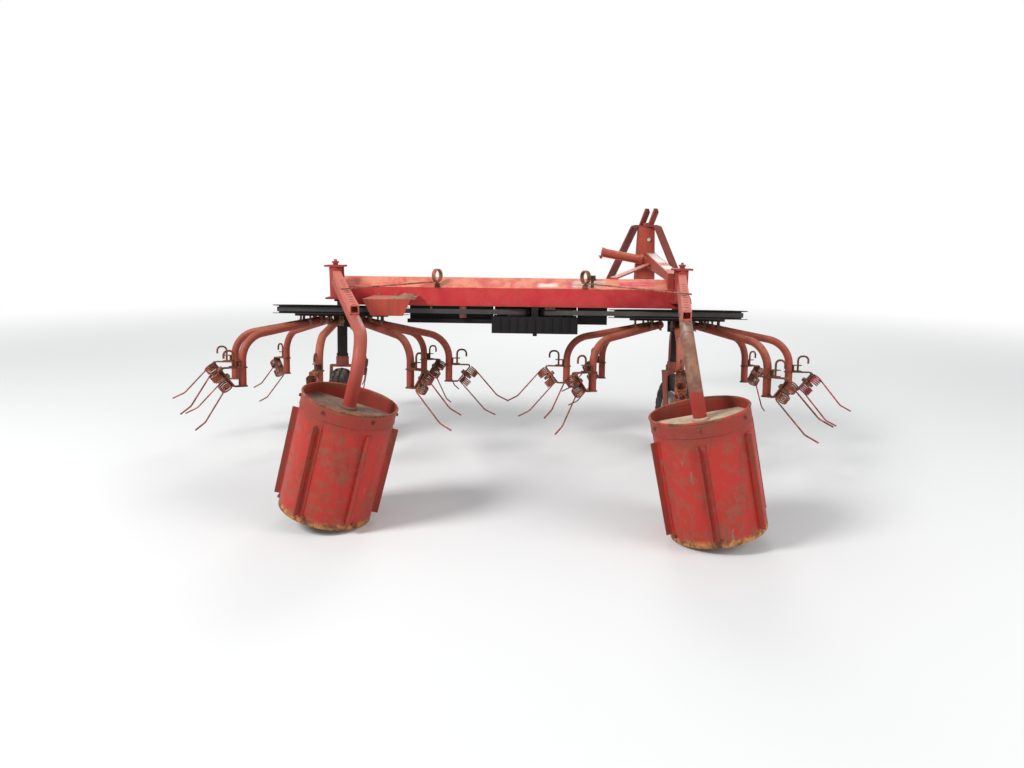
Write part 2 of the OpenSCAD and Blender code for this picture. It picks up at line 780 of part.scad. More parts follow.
// Square tube with a row of slots, welded on top of the arm from its pivot outwards
module notched_tube(side) {
    v = arm_corner(side) - arm_root;
    pitch = (square_len - slot_from - 30) / (slot_count - 1);
    color(rust) on_arm(side) translate(arm_root) rotate([0, 0, atan2(v[1], v[0])])
        rotate([0, -atan2(v[2], norm([v[0], v[1]])), 0])
        translate([square_start, -square_w / 2, (drum_arm_d + bar_swell) / 2 + face_gap]) difference() {
            cube([square_len, square_w, square_w]);
            translate([-1, square_wall, square_wall])
                cube([square_len + 2, square_w - 2 * square_wall, square_w - 2 * square_wall]);
            for (k = [0 : slot_count - 1])
                translate([slot_from + k * pitch, square_w / 4, square_w - square_wall - 1])
                    cube([16, square_w / 2, square_wall + 2]);
        }
}

// Open drum with an edge band and angle section ribs
module drum(side) {
    r = drum_d / 2;
    color(red) on_drum(side) union() {
        difference() {
            translate([0, 0, -drum_h]) cylinder(d = drum_d, h = drum_h, $fn = 96);
            translate([0, 0, -drum_h - 1]) cylinder(d = drum_d - 2 * drum_wall, h = drum_h + 2, $fn = 96);
        }
        difference() {
            translate([0, 0, -drum_band_h]) cylinder(r = r + 2, h = drum_band_h, $fn = 96);
            translate([0, 0, -drum_band_h - 1]) cylinder(r = r - 1, h = drum_band_h + 2, $fn = 96);
        }
        for (i = [0 : rib_count - 1]) rotate([0, 0, 15 + i * 360 / rib_count])
            translate([r - 1.5, 0, -drum_h + (drum_h - drum_band_h - rib_len) / 2]) union() {
                translate([0, -2, 0]) cube([rib_w, 4, rib_len]);
                translate([0, -2, 0]) cube([4, rib_w, rib_len]);
            }
    }
}

// Cross plates inside a drum with the hub tube that turns on the arm's spindle
module drum_cross(side) {
    r_in = drum_d / 2 - drum_wall - face_gap;
    color("tan") on_drum(side) difference() {
        union() {
            for (z = [-cross_depth - 22, -drum_h + 60])
                translate([0, 0, z]) intersection() {
                    cylinder(r = r_in, h = 6);
                    translate([-drum_d, -cross_w / 2, -1]) cube([2 * drum_d, cross_w, 8]);
                }
            translate([0, 0, -drum_h + 60])
                cylinder(d = spindle_d + 2 * hub_tube_wall, h = drum_h - 60 - cross_depth - 16.5);
        }
        translate([0, 0, -spindle_len - 2])
            cylinder(d = spindle_d + 2 * run_gap, h = spindle_len);
    }
}

// Springs that hold the arms in

function spring_x(side) = side == left ? -left_spring_x : right_spring_x;

// Point above the notched tube where a spring's leg crosses the arm
function hook_point(side) =
    let (v = unit(arm_corner(side) - arm_root), p = arm_root + v * hook_at, t = swing_of(side),
        rise = (drum_arm_d + bar_swell) / 2 + face_gap + square_w)
    [side * rotor_gap / 2 + p[0] * cos(t) - p[1] * sin(t),
        arm_pivot_y + p[0] * sin(t) + p[1] * cos(t),
        p[2] + rise / norm([v[0], v[1]]) + pass_gap + spring_d / 2];

// Coil on the beam's top with a long straight leg that reaches out over the arm
module arm_spring(side) {
    hook = hook_point(side);
    v = [hook[0] - spring_x(side), hook[1] - spring_foot_y];
    step = spring_d * 0.96;
    color(rust) translate([spring_x(side), spring_foot_y, hook[2]]) rotate([0, 0, atan2(v[1], v[0])]) union() {
        rotate([0, 90, 0]) cylinder(d = spring_d - 2 * bar_swell, h = norm(v) + square_w);
        translate([0, 0, spring_mean_r]) rotate([90, 0, 0]) rotate_extrude() union() {
            for (k = [-1, 0, 1]) translate([spring_mean_r, k * step]) circle(d = spring_d, $fn = 24);
            translate([spring_mean_r - 1.5, -step]) square([3, 2 * step]);
        }
    }
}

// Headstock

// Turns with the headstock about the post, with the origin on the post's axis
module on_head() {
    translate([post_x, post_y, 0]) rotate([0, 0, -head_turn]) children();
}

// Lower cross strap that turns on the post's lower pivot
module head_strap() {
    half = frame_low_half - strip_t / 2 - face_gap;
    color(red) on_head() difference() {
        translate([-half, -strip_w / 2, frame_bend_z - 22]) cube([2 * half, strip_w, 14]);
        translate([0, 0, frame_bend_z - 23]) cylinder(d = head_pivot_d + 2 * run_gap, h = 16);
    }
}

// Bent strip from the top bar down to a lower link pin
module headstock_leg(side) {
    top_z = post_top_z + face_gap + strip_t / 2;
    color(red) on_head() mirror([side == left ? 1 : 0, 0, 0]) union() {
        bent_strip([[frame_top_half - head_lap, top_z], [frame_top_half, top_z],
            [frame_low_half, frame_bend_z], [frame_low_half, lower_pin_z - leg_below_pin]],
            2 * strip_t, strip_w, strip_t);
        translate([frame_low_half - strip_t / 2, 0, lower_pin_z]) rotate([0, 90, 0])
            cylinder(d = lower_pin_d, h = lower_pin_len + strip_t);
    }
}

// Top bar that turns on the post's upper pivot, with the two leaning ears for the top link
module top_link_ears() {
    half = frame_top_half - head_lap - face_gap;
    z = post_top_z + face_gap;
    color(red) on_head() difference() {
        union() {
            translate([-half, -strip_w / 2, z]) cube([2 * half, strip_w, strip_t]);
            for (m = [0, 1]) mirror([m, 0, 0]) translate([ear_gap / 2, 0, z + strip_t - 1])
                rotate([90, 0, 90]) linear_extrude(ear_t)
                    polygon([[-40, 0], [38, 0], [112, 96], [92, 122], [50, 122]]);
        }
        translate([0, 0, z - 1]) cylinder(d = head_pivot_d + 2 * run_gap, h = strip_t + 40);
        for (p = [[56, 88], [86, 96]]) translate([-ear_gap, p[0], z + strip_t + p[1]])
            rotate([0, 90, 0]) cylinder(d = top_hole_d, h = 2 * ear_gap);
    }
}

// Tube fixed to the boom's left side, open and flared at its free end, on a flat bar
module cross_tube() {
    y = post_y - post_depth / 2 - cross_tube_back;
    tilt = atan2(cross_tube_rise, cross_tube_reach);
    len = norm([cross_tube_rise, cross_tube_reach]);
    past = cross_tube_d;
    color(red) difference() {
        translate([boom_left, y, cross_tube_low_z]) rotate([0, -90 + tilt, 0]) difference() {
            union() {
                translate([0, 0, -past]) cylinder(d = cross_tube_d, h = past + len);
                translate([0, 0, len - 30]) cylinder(d1 = cross_tube_d, d2 = cross_tube_d + 14, h = 30);
                translate([-cross_tube_d / 2 - 6, -20, -past]) cube([8, 40, past + len + 14]);
            }
            translate([0, 0, len - 120]) cylinder(d = cross_tube_d - 12, h = 121);
        }
        translate([boom_left - face_gap, y - past, cross_tube_low_z - 2 * past])
            cube([3 * past, 2 * past, 4 * past]);
    }
}

// Flat brace from the beam's ridge to the boom's left side
module brace() {
    foot_x = boom_left - brace_foot_out;
    a = [foot_x, beam_depth / 2 - 28, beam_z + beam_ridge_h + face_gap];
    b = [boom_left + boom_w / 3, brace_end_y, boom_top_z - brace_end_drop];
    v = b - a;
    flat = norm([v[0], v[1]]);
    color(red) difference() {
        translate(a) rotate([0, 0, atan2(v[1], v[0])]) rotate([0, -atan2(v[2], flat), 0])
            translate([0, -brace_w / 2, 0]) cube([norm(v), brace_w, brace_t]);
        translate([boom_left - face_gap, brace_end_y - 3 * boom_w, boom_top_z - 2 * boom_h])
            cube([3 * boom_w, 6 * boom_w, 2 * boom_h]);
    }
}

in_frame() beam();
in_frame() pivot_bracket(left);  // pivot_bracket_left
in_frame() pivot_bracket(right);  // pivot_bracket_right
in_frame() boom();
in_frame() post();
in_frame() gearbox();
in_frame() guard_plate();
in_frame() column(left);  // column_left
in_frame() column(right);  // column_right
in_frame() belt(left);  // belt_left
in_frame() belt(right);  // belt_right
in_frame() arm_spring(left);  // arm_spring_left
in_frame() arm_spring(right);  // arm_spring_right
in_frame() drive_pulley(left);  // drive_pulley_left
in_frame() drive_pulley(right);  // drive_pulley_right
in_frame() belt_rim(left);  // belt_rim_left
in_frame() belt_rim(right);  // belt_rim_right
in_frame() hub(left);  // hub_left
in_frame() hub(right);  // hub_right
in_frame() tine_arms(left);  // tine_arms_left
in_frame() tine_arms(right);  // tine_arms_right
in_frame() tine_holders(left);  // tine_holders_left
in_frame() tine_holders(right);  // tine_holders_right
in_frame() lock_pins(left);  // lock_pins_left
in_frame() lock_pins(right);  // lock_pins_right
in_frame() tines(left);  // tines_left
in_frame() tines(right);  // tines_right
in_frame() castor_fork(left);  // castor_fork_left
in_frame() castor_fork(right);  // castor_fork_right
in_frame() wheel(left);  // wheel_left
in_frame() wheel(right);  // wheel_right
in_frame() tyre(left);  // tyre_left
in_frame() tyre(right);  // tyre_right
in_frame() drum_arm(left);  // drum_arm_left
in_frame() drum_arm(right);  // drum_arm_right
in_frame() notched_tube(left);  // notched_tube_left
in_frame() notched_tube(right);  // notched_tube_right
in_frame() drum(left);  // drum_left
in_frame() drum(right);  // drum_right
in_frame() drum_cross(left);  // drum_cross_left
in_frame() drum_cross(right);  // drum_cross_right
in_frame() head_strap();
in_frame() headstock_leg(left);  // headstock_leg_left
in_frame() headstock_leg(right);  // headstock_leg_right
in_frame() top_link_ears();
in_frame() cross_tube();
in_frame() brace();
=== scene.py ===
import json
import math

import bmesh
import bpy
from mathutils import Matrix, Vector


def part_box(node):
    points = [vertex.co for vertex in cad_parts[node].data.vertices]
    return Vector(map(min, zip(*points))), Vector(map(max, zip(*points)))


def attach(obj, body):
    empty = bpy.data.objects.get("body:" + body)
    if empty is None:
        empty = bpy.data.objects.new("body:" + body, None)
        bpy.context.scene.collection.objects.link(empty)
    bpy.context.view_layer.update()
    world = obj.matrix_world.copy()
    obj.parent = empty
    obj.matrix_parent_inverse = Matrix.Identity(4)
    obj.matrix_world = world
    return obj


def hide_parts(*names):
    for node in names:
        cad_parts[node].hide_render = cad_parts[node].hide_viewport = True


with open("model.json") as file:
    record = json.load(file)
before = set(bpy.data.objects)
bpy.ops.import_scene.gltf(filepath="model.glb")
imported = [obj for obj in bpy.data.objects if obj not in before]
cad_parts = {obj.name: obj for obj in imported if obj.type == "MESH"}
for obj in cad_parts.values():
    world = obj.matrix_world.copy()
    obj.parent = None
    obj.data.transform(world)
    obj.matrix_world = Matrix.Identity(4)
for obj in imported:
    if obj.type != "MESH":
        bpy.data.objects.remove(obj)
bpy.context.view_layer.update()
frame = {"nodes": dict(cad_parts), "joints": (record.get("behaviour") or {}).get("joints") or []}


# Sizes and places, in metres, seen from the middle of the beam on the ground

SIDES = {"left": -1, "right": 1}
UP, DOWN, FORWARD, REARWARD = (0, 0, 1), (0, 0, -1), (0, 1, 0), (0, -1, 0)
# The row frame's origin
HITCH = Vector((0.935, 1.13, 0.61))

# The beam's lower edge, the upper edge of its rear wall and that wall's forward place
BEAM_Z, BEAM_TOP_Z, BEAM_REAR_Y = 0.832, 0.944, -0.060
GEARBOX_X, GEARBOX_Y, GEARBOX_Z = (-0.085, 0.415), 0.120, (0.670, 0.768)
POST = Vector((0.935, 1.130))
HEAD_TURN = math.radians(34)
BOOM_X, BOOM_W = 0.965, 0.068
# Rear and front end of the boom's upper face: (forward place, height)
BOOM_FOOT, BOOM_HEAD = (-0.062, 1.036), (1.078, 1.130)
BOOM_SLOPE = (BOOM_HEAD[1] - BOOM_FOOT[1]) / (BOOM_HEAD[0] - BOOM_FOOT[0])

ROTOR_X, ROTOR_LEAN = 1.0, math.radians(6)
ARM_COUNT = 8
# The turn of each rotor's first arm
PHASE = {"left": math.radians(-85), "right": math.radians(-52)}
HUB_PLATE_Z = 0.755
# Corners of the slanted plate of a tine holder: (distance from the rotor axis, height)
HOLDER_TOP, HOLDER_LOW = Vector((0.783, 0.472)), Vector((0.699, 0.370))
HOLDER_T = 0.007
COIL_R, COIL_TURNS, COIL_PITCH = 0.0275, 4.25, 0.0102
# Dip and rake of a tine and of its tip, in degrees
TINE_SLOPE, TIP_SLOPE = (48, 20), (26, 20)
TINE_LEN, TIP_LEN = 0.215, 0.076
# The arm of the right rotor whose double tine is newer and redder
PINK_ARM = 1

TYRE_R, BEAD_R = 0.2275, 0.127

# A drum arm: its pivot's forward place, its height there and at its end, and its reach
ARM_PIVOT_Y, ARM_Z, ARM_END_Z, ARM_REACH = -0.111, 0.968, 0.806, 1.345
DRUM_R, DRUM_H = 0.201, 0.520
# A drum's ribs and where the first one stands, in degrees round its axis
RIB_COUNT, FIRST_RIB = 6, 15
# Sideways lean, rearward lean and swing of each drum
DRUM_STAND = {"left": tuple(map(math.radians, (14, 6, 18))),
              "right": tuple(map(math.radians, (-12, 1, -5.5)))}
# Where each drum's sheet is joined, in degrees
DRUM_SEAM = {"left": 262, "right": 246}


def spot(x, y, z):
    """A point of the machine in the row frame."""
    return Vector((x, y, z)) - HITCH


shift = Matrix.Translation


def rotated(angle, axis="Z"):
    return Matrix.Rotation(angle, 4, axis)


def facing(point, direction, spin=0.0):
    """A matrix that puts +Z along a direction at a point."""
    turn = Vector(direction).to_track_quat("Z", "Y").to_matrix().to_4x4()
    return shift(point) @ turn @ rotated(spin)


def sloped(dip, rake):
    """A direction in an arm's frame, from its dip and rake in degrees."""
    dip, rake = math.radians(dip), math.radians(rake)
    return Vector((math.cos(dip) * math.cos(rake), math.cos(dip) * math.sin(rake), -math.sin(dip)))


def full_turn(steps):
    """The angles of equal steps round a full turn."""
    return [math.tau * k / steps for k in range(steps)]


def circle(radius, height, steps):
    return [Vector((radius * math.cos(angle), radius * math.sin(angle), height))
            for angle in full_turn(steps)]


def leaned(matrix):
    """A place in a rotor's upright frame, turned as the rotor axes lean."""
    return shift(spot(0, 0, BEAM_Z)) @ rotated(-ROTOR_LEAN, "X") @ shift((0, 0, -BEAM_Z)) @ matrix


def arms(side):
    """The upright frame of each arm of a rotor, with +X out along the arm."""
    return [leaned(shift((SIDES[side] * ROTOR_X, 0, 0)) @ rotated(PHASE[side] + angle))
            for angle in full_turn(ARM_COUNT)]


def holder_plate():
    """A holder's slanted plate in its arm's frame: its middle, the way up it and the way out."""
    up = (HOLDER_TOP - HOLDER_LOW).normalized()
    middle = (HOLDER_TOP + HOLDER_LOW) / 2
    return Vector((middle.x, 0, middle.y)), Vector((up.x, 0, up.y)), Vector((up.y, 0, -up.x))


def on_wheel(side):
    """A wheel's own frame: +Z along its axle."""
    joint = next(joint for joint in frame["joints"] if joint["name"] == f"wheel_{side}_spin")
    return facing(Vector(joint["pos_m"]), joint["axis"])


def on_arm(side):
    """The frame of a drum arm at the foot of its pivot, swung as it is parked."""
    return shift(spot(SIDES[side] * ROTOR_X, ARM_PIVOT_Y, 0)) @ rotated(DRUM_STAND[side][2])


def drum_axis(side):
    """A drum's axis in its arm's frame and the height of the middle of its upper edge."""
    lean, back, _ = DRUM_STAND[side]
    axis = Vector((math.tan(lean), -math.tan(back), 1)).normalized()
    return axis, DRUM_H * axis.z + DRUM_R * math.sqrt(1 - axis.z ** 2)


def on_drum(side):
    """A drum's own frame: +Z along its axis, origin in the middle of its upper edge."""
    axis, top = drum_axis(side)
    return (on_arm(side) @ shift((0, -ARM_REACH, top)) @ rotated(math.atan2(axis.y, axis.x))
            @ rotated(math.acos(axis.z), "Y"))


def on_ribs(side, ahead=0):
    """A drum's frame turned to each of its ribs, or some degrees ahead of them."""
    return [on_drum(side) @ rotated(math.radians(FIRST_RIB + ahead) + angle)
            for angle in full_turn(RIB_COUNT)]


# Shader nodes


class Graph:
    """Short calls for the shader nodes of one material, world or node group."""

    def __init__(self, tree):
        self.tree = tree

    def add(self, kind, **settings):
        node = self.tree.nodes.new(kind)
        for name, value in settings.items():
            setattr(node, name, value)
        return node

    def feed(self, socket, value):
        if isinstance(value, bpy.types.NodeSocket):
            self.tree.links.new(value, socket)
        else:
            socket.default_value = value

    def fill(self, node, **values):
        """Feeds a node's inputs by their names, where an underscore stands for a space."""
        for name, value in values.items():
            self.feed(node.inputs[name.replace("_", " ")], value)
        return node

    def place(self):
        return self.add("ShaderNodeTexCoord").outputs["Object"]

    def split(self, vector):
        return self.fill(self.add("ShaderNodeSeparateXYZ"), Vector=vector).outputs

    def facing_up(self):
        return self.split(self.add("ShaderNodeTexCoord").outputs["Normal"])["Z"]

    def stretch(self, vector, scale):
        return self.fill(self.add("ShaderNodeMapping"), Vector=vector, Scale=scale).outputs[0]

    def noise(self, vector, scale, detail=5.0, rough=0.6, twist=0.0):
        node = self.add("ShaderNodeTexNoise")
        return self.fill(node, Vector=vector, Scale=scale, Detail=detail, Roughness=rough,
                         Distortion=twist).outputs["Fac"]

    def cells(self, vector, scale):
        node = self.add("ShaderNodeTexVoronoi")
        return self.fill(node, Vector=vector, Scale=scale).outputs["Distance"]

    def math(self, operation, a, b=0.0, clamp=False):
        node = self.add("ShaderNodeMath", operation=operation, use_clamp=clamp)
        self.feed(node.inputs[0], a)
        self.feed(node.inputs[1], b)
        return node.outputs[0]

    def times(self, a, b, clamp=False):
        return self.math("MULTIPLY", a, b, clamp)

    def plus(self, a, b, clamp=False):
        return self.math("ADD", a, b, clamp)

    def minus(self, a, b):
        return self.math("SUBTRACT", a, b)

    def measure(self, operation, vector, other=(0, 0, 0)):
        """The length of a vector, or the distance or dot product of two."""
        node = self.add("ShaderNodeVectorMath", operation=operation)
        self.feed(node.inputs[0], vector)
        self.feed(node.inputs[1], other)
        return node.outputs["Value"]

    def span(self, value, low, high, to_low=0.0, to_high=1.0):
        """Goes smoothly from to_low to to_high while the value goes from low to high."""
        node = self.add("ShaderNodeMapRange", interpolation_type="SMOOTHSTEP")
        return self.fill(node, Value=value, From_Min=low, From_Max=high, To_Min=to_low,
                         To_Max=to_high).outputs["Result"]

    def between(self, value, low, high, fade):
        """One where the value lies between low and high, with a fade inside both ends."""
        return self.times(self.span(value, low, low + fade),
                          self.span(value, high - fade, high, 1.0, 0.0))

    def mix(self, share, a, b):
        node = self.add("ShaderNodeMix", data_type="RGBA")
        return self.fill(node, Factor=share, A=a, B=b).outputs["Result"]

    def group(self, name, **values):
        return self.fill(self.add("ShaderNodeGroup", node_tree=GROUPS[name]), **values).outputs


def fresh_graph(holder):
    """The emptied node tree of a material or world."""
    holder.use_nodes = True
    holder.node_tree.nodes.clear()
    return Graph(holder.node_tree)


NUMBER, COLOUR = "NodeSocketFloat", "NodeSocketColor"
# Colours that more than one finish has
RUST, EDGE_RUST = (0.12, 0.045, 0.02, 1), (0.20, 0.075, 0.035, 1)
DUST = (0.34, 0.28, 0.21, 1)
EARTH, EARTH_DARK = (0.29, 0.155, 0.10, 1), (0.15, 0.085, 0.058, 1)


def new_group(name, inputs, outputs):
    """A node group with named sockets; also returns its graph, its inputs and its output node."""
    tree = bpy.data.node_groups.new(name, "ShaderNodeTree")
    for label, kind, value in inputs:
        socket = tree.interface.new_socket(label, in_out="INPUT", socket_type=kind)
        socket.default_value = value
    for label, kind in outputs:
        tree.interface.new_socket(label, in_out="OUTPUT", socket_type=kind)
    graph = Graph(tree)
    return tree, graph, graph.add("NodeGroupInput").outputs, graph.add("NodeGroupOutput")


def worn_coat_group():
    """Paint that is paler on its upward faces, partly from sun bleaching and partly as painted sunlight
    on the tops, with rust that breaks through it and dirt that runs down.
    """
    tree, g, have, out = new_group("worn coat", [
        ("Paint", COLOUR, (0.4, 0.05, 0.04, 1)), ("Bleached", COLOUR, (0.6, 0.2, 0.15, 1)),
        ("Rust", COLOUR, RUST), ("Bleaching", NUMBER, 0.5), ("Rust Cover", NUMBER, 0.3),
        ("Chip Scale", NUMBER, 30.0), ("Dirt", NUMBER, 0.3),
    ], [("Color", COLOUR), ("Roughness", NUMBER), ("Height", NUMBER)])
    at = g.place()
    broad = g.noise(at, 3.2, 4, 0.55)
    cloud = g.noise(at, 11.0, 6, 0.62, 0.4)
    chips = g.noise(at, have["Chip Scale"], 7, 0.68)
    fine = g.noise(at, 160.0, 4, 0.6)
    # Upward faces turn paler: partly real sun bleaching, partly painted sunlight falling on the tops
    top_bleach_and_light = g.times(g.span(g.facing_up(), 0.0, 0.8, 0.12, 1.0), have["Bleaching"])
    bleach_and_light = g.times(g.span(cloud, 0.32, 0.66, 0.35, 1.25), top_bleach_and_light, clamp=True)
    coat = g.mix(bleach_and_light, have["Paint"], have["Bleached"])
    coat = g.mix(g.span(fine, 0.3, 0.75, 0.0, 0.35), coat, g.mix(0.5, coat, have["Rust"]))
    cover = g.plus(g.times(g.minus(broad, 0.5), 0.55), g.plus(g.times(chips, 0.8), g.times(cloud, 0.2)))
    edge = g.minus(0.86, g.times(have["Rust Cover"], 0.72))
    bare = g.span(cover, edge, g.plus(edge, 0.055))
    halo = g.span(cover, g.minus(edge, 0.07), edge)
    coat = g.mix(g.times(halo, 0.55), coat, g.mix(0.5, coat, have["Rust"]))
    bright = g.mix(g.span(g.noise(at, 70, 5, 0.7), 0.4, 0.7), have["Rust"], (0.30, 0.12, 0.045, 1))
    coat = g.mix(bare, coat, bright)
    runs = g.noise(g.stretch(at, (26, 26, 2.2)), 1.0, 5, 0.6)
    dirty = g.times(g.span(runs, 0.47, 0.75), have["Dirt"], clamp=True)
    ridges = g.times(bare, g.minus(g.times(fine, 0.9), 0.75))
    g.fill(out, Color=g.mix(dirty, coat, (0.055, 0.035, 0.025, 1)),
           Roughness=g.plus(g.span(cloud, 0.3, 0.7, 0.42, 0.62), g.times(bare, 0.3), clamp=True),
           Height=g.plus(ridges, g.times(fine, 0.12)))
    return tree


def bare_rust_group():
    """Rusty steel in two tones with remains of paint."""
    tree, g, have, out = new_group("bare rust", [
        ("Deep", COLOUR, (0.07, 0.03, 0.018, 1)), ("Bright", COLOUR, (0.27, 0.11, 0.05, 1)),
        ("Paint", COLOUR, (0.42, 0.13, 0.09, 1)), ("Remains", NUMBER, 0.3),
        ("Grain", NUMBER, 60.0),
    ], [("Color", COLOUR), ("Roughness", NUMBER), ("Height", NUMBER)])
    at = g.place()
    cloud = g.noise(at, 14, 6, 0.65, 0.5)
    grain = g.noise(at, have["Grain"], 6, 0.7)
    pits = g.cells(at, 240)
    tone = g.span(g.plus(g.times(cloud, 0.6), g.times(grain, 0.4)), 0.4, 0.62)
    coat = g.mix(tone, have["Deep"], have["Bright"])
    keep = g.minus(0.78, g.times(have["Remains"], 0.5))
    flakes = g.plus(g.times(g.noise(at, 21, 7, 0.66), 0.75), g.times(grain, 0.25))
    left = g.span(flakes, keep, g.plus(keep, 0.05))
    g.fill(out, Color=g.mix(left, coat, have["Paint"]), Roughness=g.span(grain, 0.3, 0.7, 0.6, 0.9),
           Height=g.plus(g.times(grain, 0.7), g.times(g.span(pits, 0.0, 0.35), 0.3)))
    return tree


def dust_group():
    """Dry dust that lies on what faces up and in patches elsewhere."""
    tree, g, have, out = new_group("dust", [
        ("Base", COLOUR, (0.03, 0.03, 0.03, 1)), ("Dust", COLOUR, (0.30, 0.24, 0.18, 1)),
        ("Amount", NUMBER, 0.4), ("Patch Scale", NUMBER, 9.0),
    ], [("Color", COLOUR), ("Cover", NUMBER)])
    at = g.place()
    lying = g.span(g.facing_up(), 0.05, 0.95, 0.22, 1.0)
    patch = g.span(g.noise(at, have["Patch Scale"], 7, 0.66, 0.3), 0.34, 0.72)
    specks = g.span(g.noise(at, 190, 3, 0.6), 0.42, 0.66, 0.55, 1.0)
    cover = g.times(g.times(lying, patch), g.times(specks, have["Amount"]), clamp=True)
    g.fill(out, Color=g.mix(cover, have["Base"], have["Dust"]), Cover=cover)
    return tree


def scrape_group():
    """Scrapes that run along the part's upright axis."""
    tree, g, have, out = new_group("scrapes", [
        ("Amount", NUMBER, 0.4), ("Along", NUMBER, 3.0), ("Across", NUMBER, 60.0),
    ], [("Mask", NUMBER)])
    at = g.place()
    x, y, z = g.split(at)
    drawn = g.fill(g.add("ShaderNodeCombineXYZ"), X=g.times(x, have["Across"]),
                   Y=g.times(y, have["Across"]), Z=g.times(z, have["Along"]))
    lines = g.noise(drawn.outputs[0], 1.0, 6, 0.7)
    patch = g.span(g.noise(at, 7, 4, 0.6), 0.4, 0.7)
    low = g.minus(0.74, g.times(have["Amount"], 0.2))
    g.fill(out, Mask=g.times(g.span(lines, low, g.plus(low, 0.06)), patch))
    return tree


def earth_group():
    """Dried earth on the outer stretch of a drum arm, with a sharp lower edge above the drum."""
    tree, g, _, out = new_group("dried earth", [], [("Mask", NUMBER)])
    at = g.place()
    x, y, z = g.split(at)
    ragged = g.times(g.minus(g.noise(at, 9.0, 6, 0.6), 0.5), 0.18)
    outer = g.span(g.minus(ragged, y), 1.55, 2.05)
    above = g.span(g.plus(z, g.times(ragged, 0.12)), 0.014, 0.024)
    patch = g.span(g.noise(at, 26.0, 7, 0.68), 0.28, 0.46, 0.5, 1.0)
    side = g.span(x, -1.2, -0.5, 0.12, 0.92)
    g.fill(out, Mask=g.times(g.times(outer, above), g.times(patch, side)))
    return tree


GROUPS = {
    "coat": worn_coat_group(),
    "rust": bare_rust_group(),
    "dust": dust_group(),
    "scrapes": scrape_group(),
    "earth": earth_group(),
}


# Finishes

# The specular level of every finish and the depth of its relief
SHINE, RELIEF = 0.25, 0.0008


def shaded(name, surface, bump=0.6):
    """A material around one shader; surface(graph) gives its colour, roughness and height."""
    material = bpy.data.materials.new(name)
    g = fresh_graph(material)
    colour, roughness, height = surface(g)
    relief = g.fill(g.add("ShaderNodeBump"), Strength=bump, Distance=RELIEF, Height=height)
    shader = g.fill(g.add("ShaderNodeBsdfPrincipled"), Base_Color=colour, Roughness=roughness,
                    Specular_IOR_Level=SHINE, Normal=relief.outputs[0])
    g.fill(g.add("ShaderNodeOutputMaterial"), Surface=shader.outputs[0])
    return material


# Old marks on the beam's top: left, right, rear and front end, colour and cover
BEAM_MARKS = (
    (0.168, 0.309, -0.056, -0.008, (0.84, 0.70, 0.62, 1), 0.95),
    (0.367, 0.590, -0.054, 0.020, (0.80, 0.60, 0.52, 1), 0.85),
    (0.640, 0.880, -0.036, 0.012, (0.66, 0.02, 0.11, 1), 0.95),
)


def beam_marks(g, shade):
    """Rusty edges, two whitish smears of old labels and a magenta streak on the beam's top."""
    at = g.place()
    x, y, z = g.split(at)
    level = g.plus(z, g.times(g.minus(g.noise(at, 34.0, 7, 0.7), 0.5), 0.07))
    flat = g.span(g.facing_up(), -0.2, 0.3, 1.0, 0.35)
    low_edge = g.span(level, BEAM_Z - HITCH.z, BEAM_Z + 0.010 - HITCH.z, 0.75, 0.0)
    top_edge = g.span(level, BEAM_TOP_Z - HITCH.z, BEAM_TOP_Z - 0.008 - HITCH.z, 0.75, 0.0)
    rear = g.span(y, BEAM_REAR_Y - HITCH.y, BEAM_REAR_Y + 0.005 - HITCH.y, 1.0, 0.0)
    for edge in (low_edge, g.times(top_edge, rear)):
        shade = g.mix(g.times(edge, flat), shade, EDGE_RUST)
    worn = g.span(g.noise(g.stretch(at, (12, 40, 40)), 1.0, 6, 0.7), 0.36, 0.58, 0.15, 1.0)
    worn_top = g.times(worn, g.span(g.facing_up(), 0.3, 0.6))
    for x0, x1, y0, y1, colour, cover in BEAM_MARKS:
        across = g.between(x, x0 - HITCH.x, x1 - HITCH.x, 0.03)
        along = g.between(y, y0 - HITCH.y, y1 - HITCH.y, 0.012)
        mask = g.times(g.times(across, along), worn_top)
        shade = g.mix(g.times(mask, cover), shade, colour)
    return shade


def painted(name, paint, lightened, lightening, rust_cover, chip_scale, dirt, dust=0.0, earth=False,
            marks=False):
    """Old paint, with dust, the drum arms' dried earth or the beam's marks where asked for."""
    def surface(g):
        coat = g.group("coat", Paint=paint, Bleached=lightened, Bleaching=lightening,
                       Rust_Cover=rust_cover, Chip_Scale=chip_scale, Dirt=dirt)
        shade = coat["Color"]
        if dust:
            shade = g.group("dust", Base=shade, Amount=dust)["Color"]
        if earth:
            soil = g.mix(g.span(g.noise(g.place(), 17.0), 0.38, 0.62), EARTH_DARK, EARTH)
            shade = g.mix(g.group("earth")["Mask"], shade, soil)
        if marks:
            shade = beam_marks(g, shade)
        return shade, coat["Roughness"], coat["Height"]
    return shaded(name, surface)


def rusted(name, deep, bright, paint, remains, grain=60.0):
    def surface(g):
        coat = g.group("rust", Deep=deep, Bright=bright, Paint=paint, Remains=remains, Grain=grain)
        return coat["Color"], coat["Roughness"], coat["Height"]
    return shaded(name, surface)


def dusty(name, base, dust, amount, roughness, patch_scale=9.0, grain=120.0):
    def surface(g):
        film = g.group("dust", Base=base, Dust=dust, Amount=amount, Patch_Scale=patch_scale)
        rough = g.span(film["Cover"], 0.0, 0.8, roughness, 0.95)
        return film["Color"], rough, g.noise(g.place(), grain, 4, 0.6)
    return shaded(name, surface, bump=0.35)


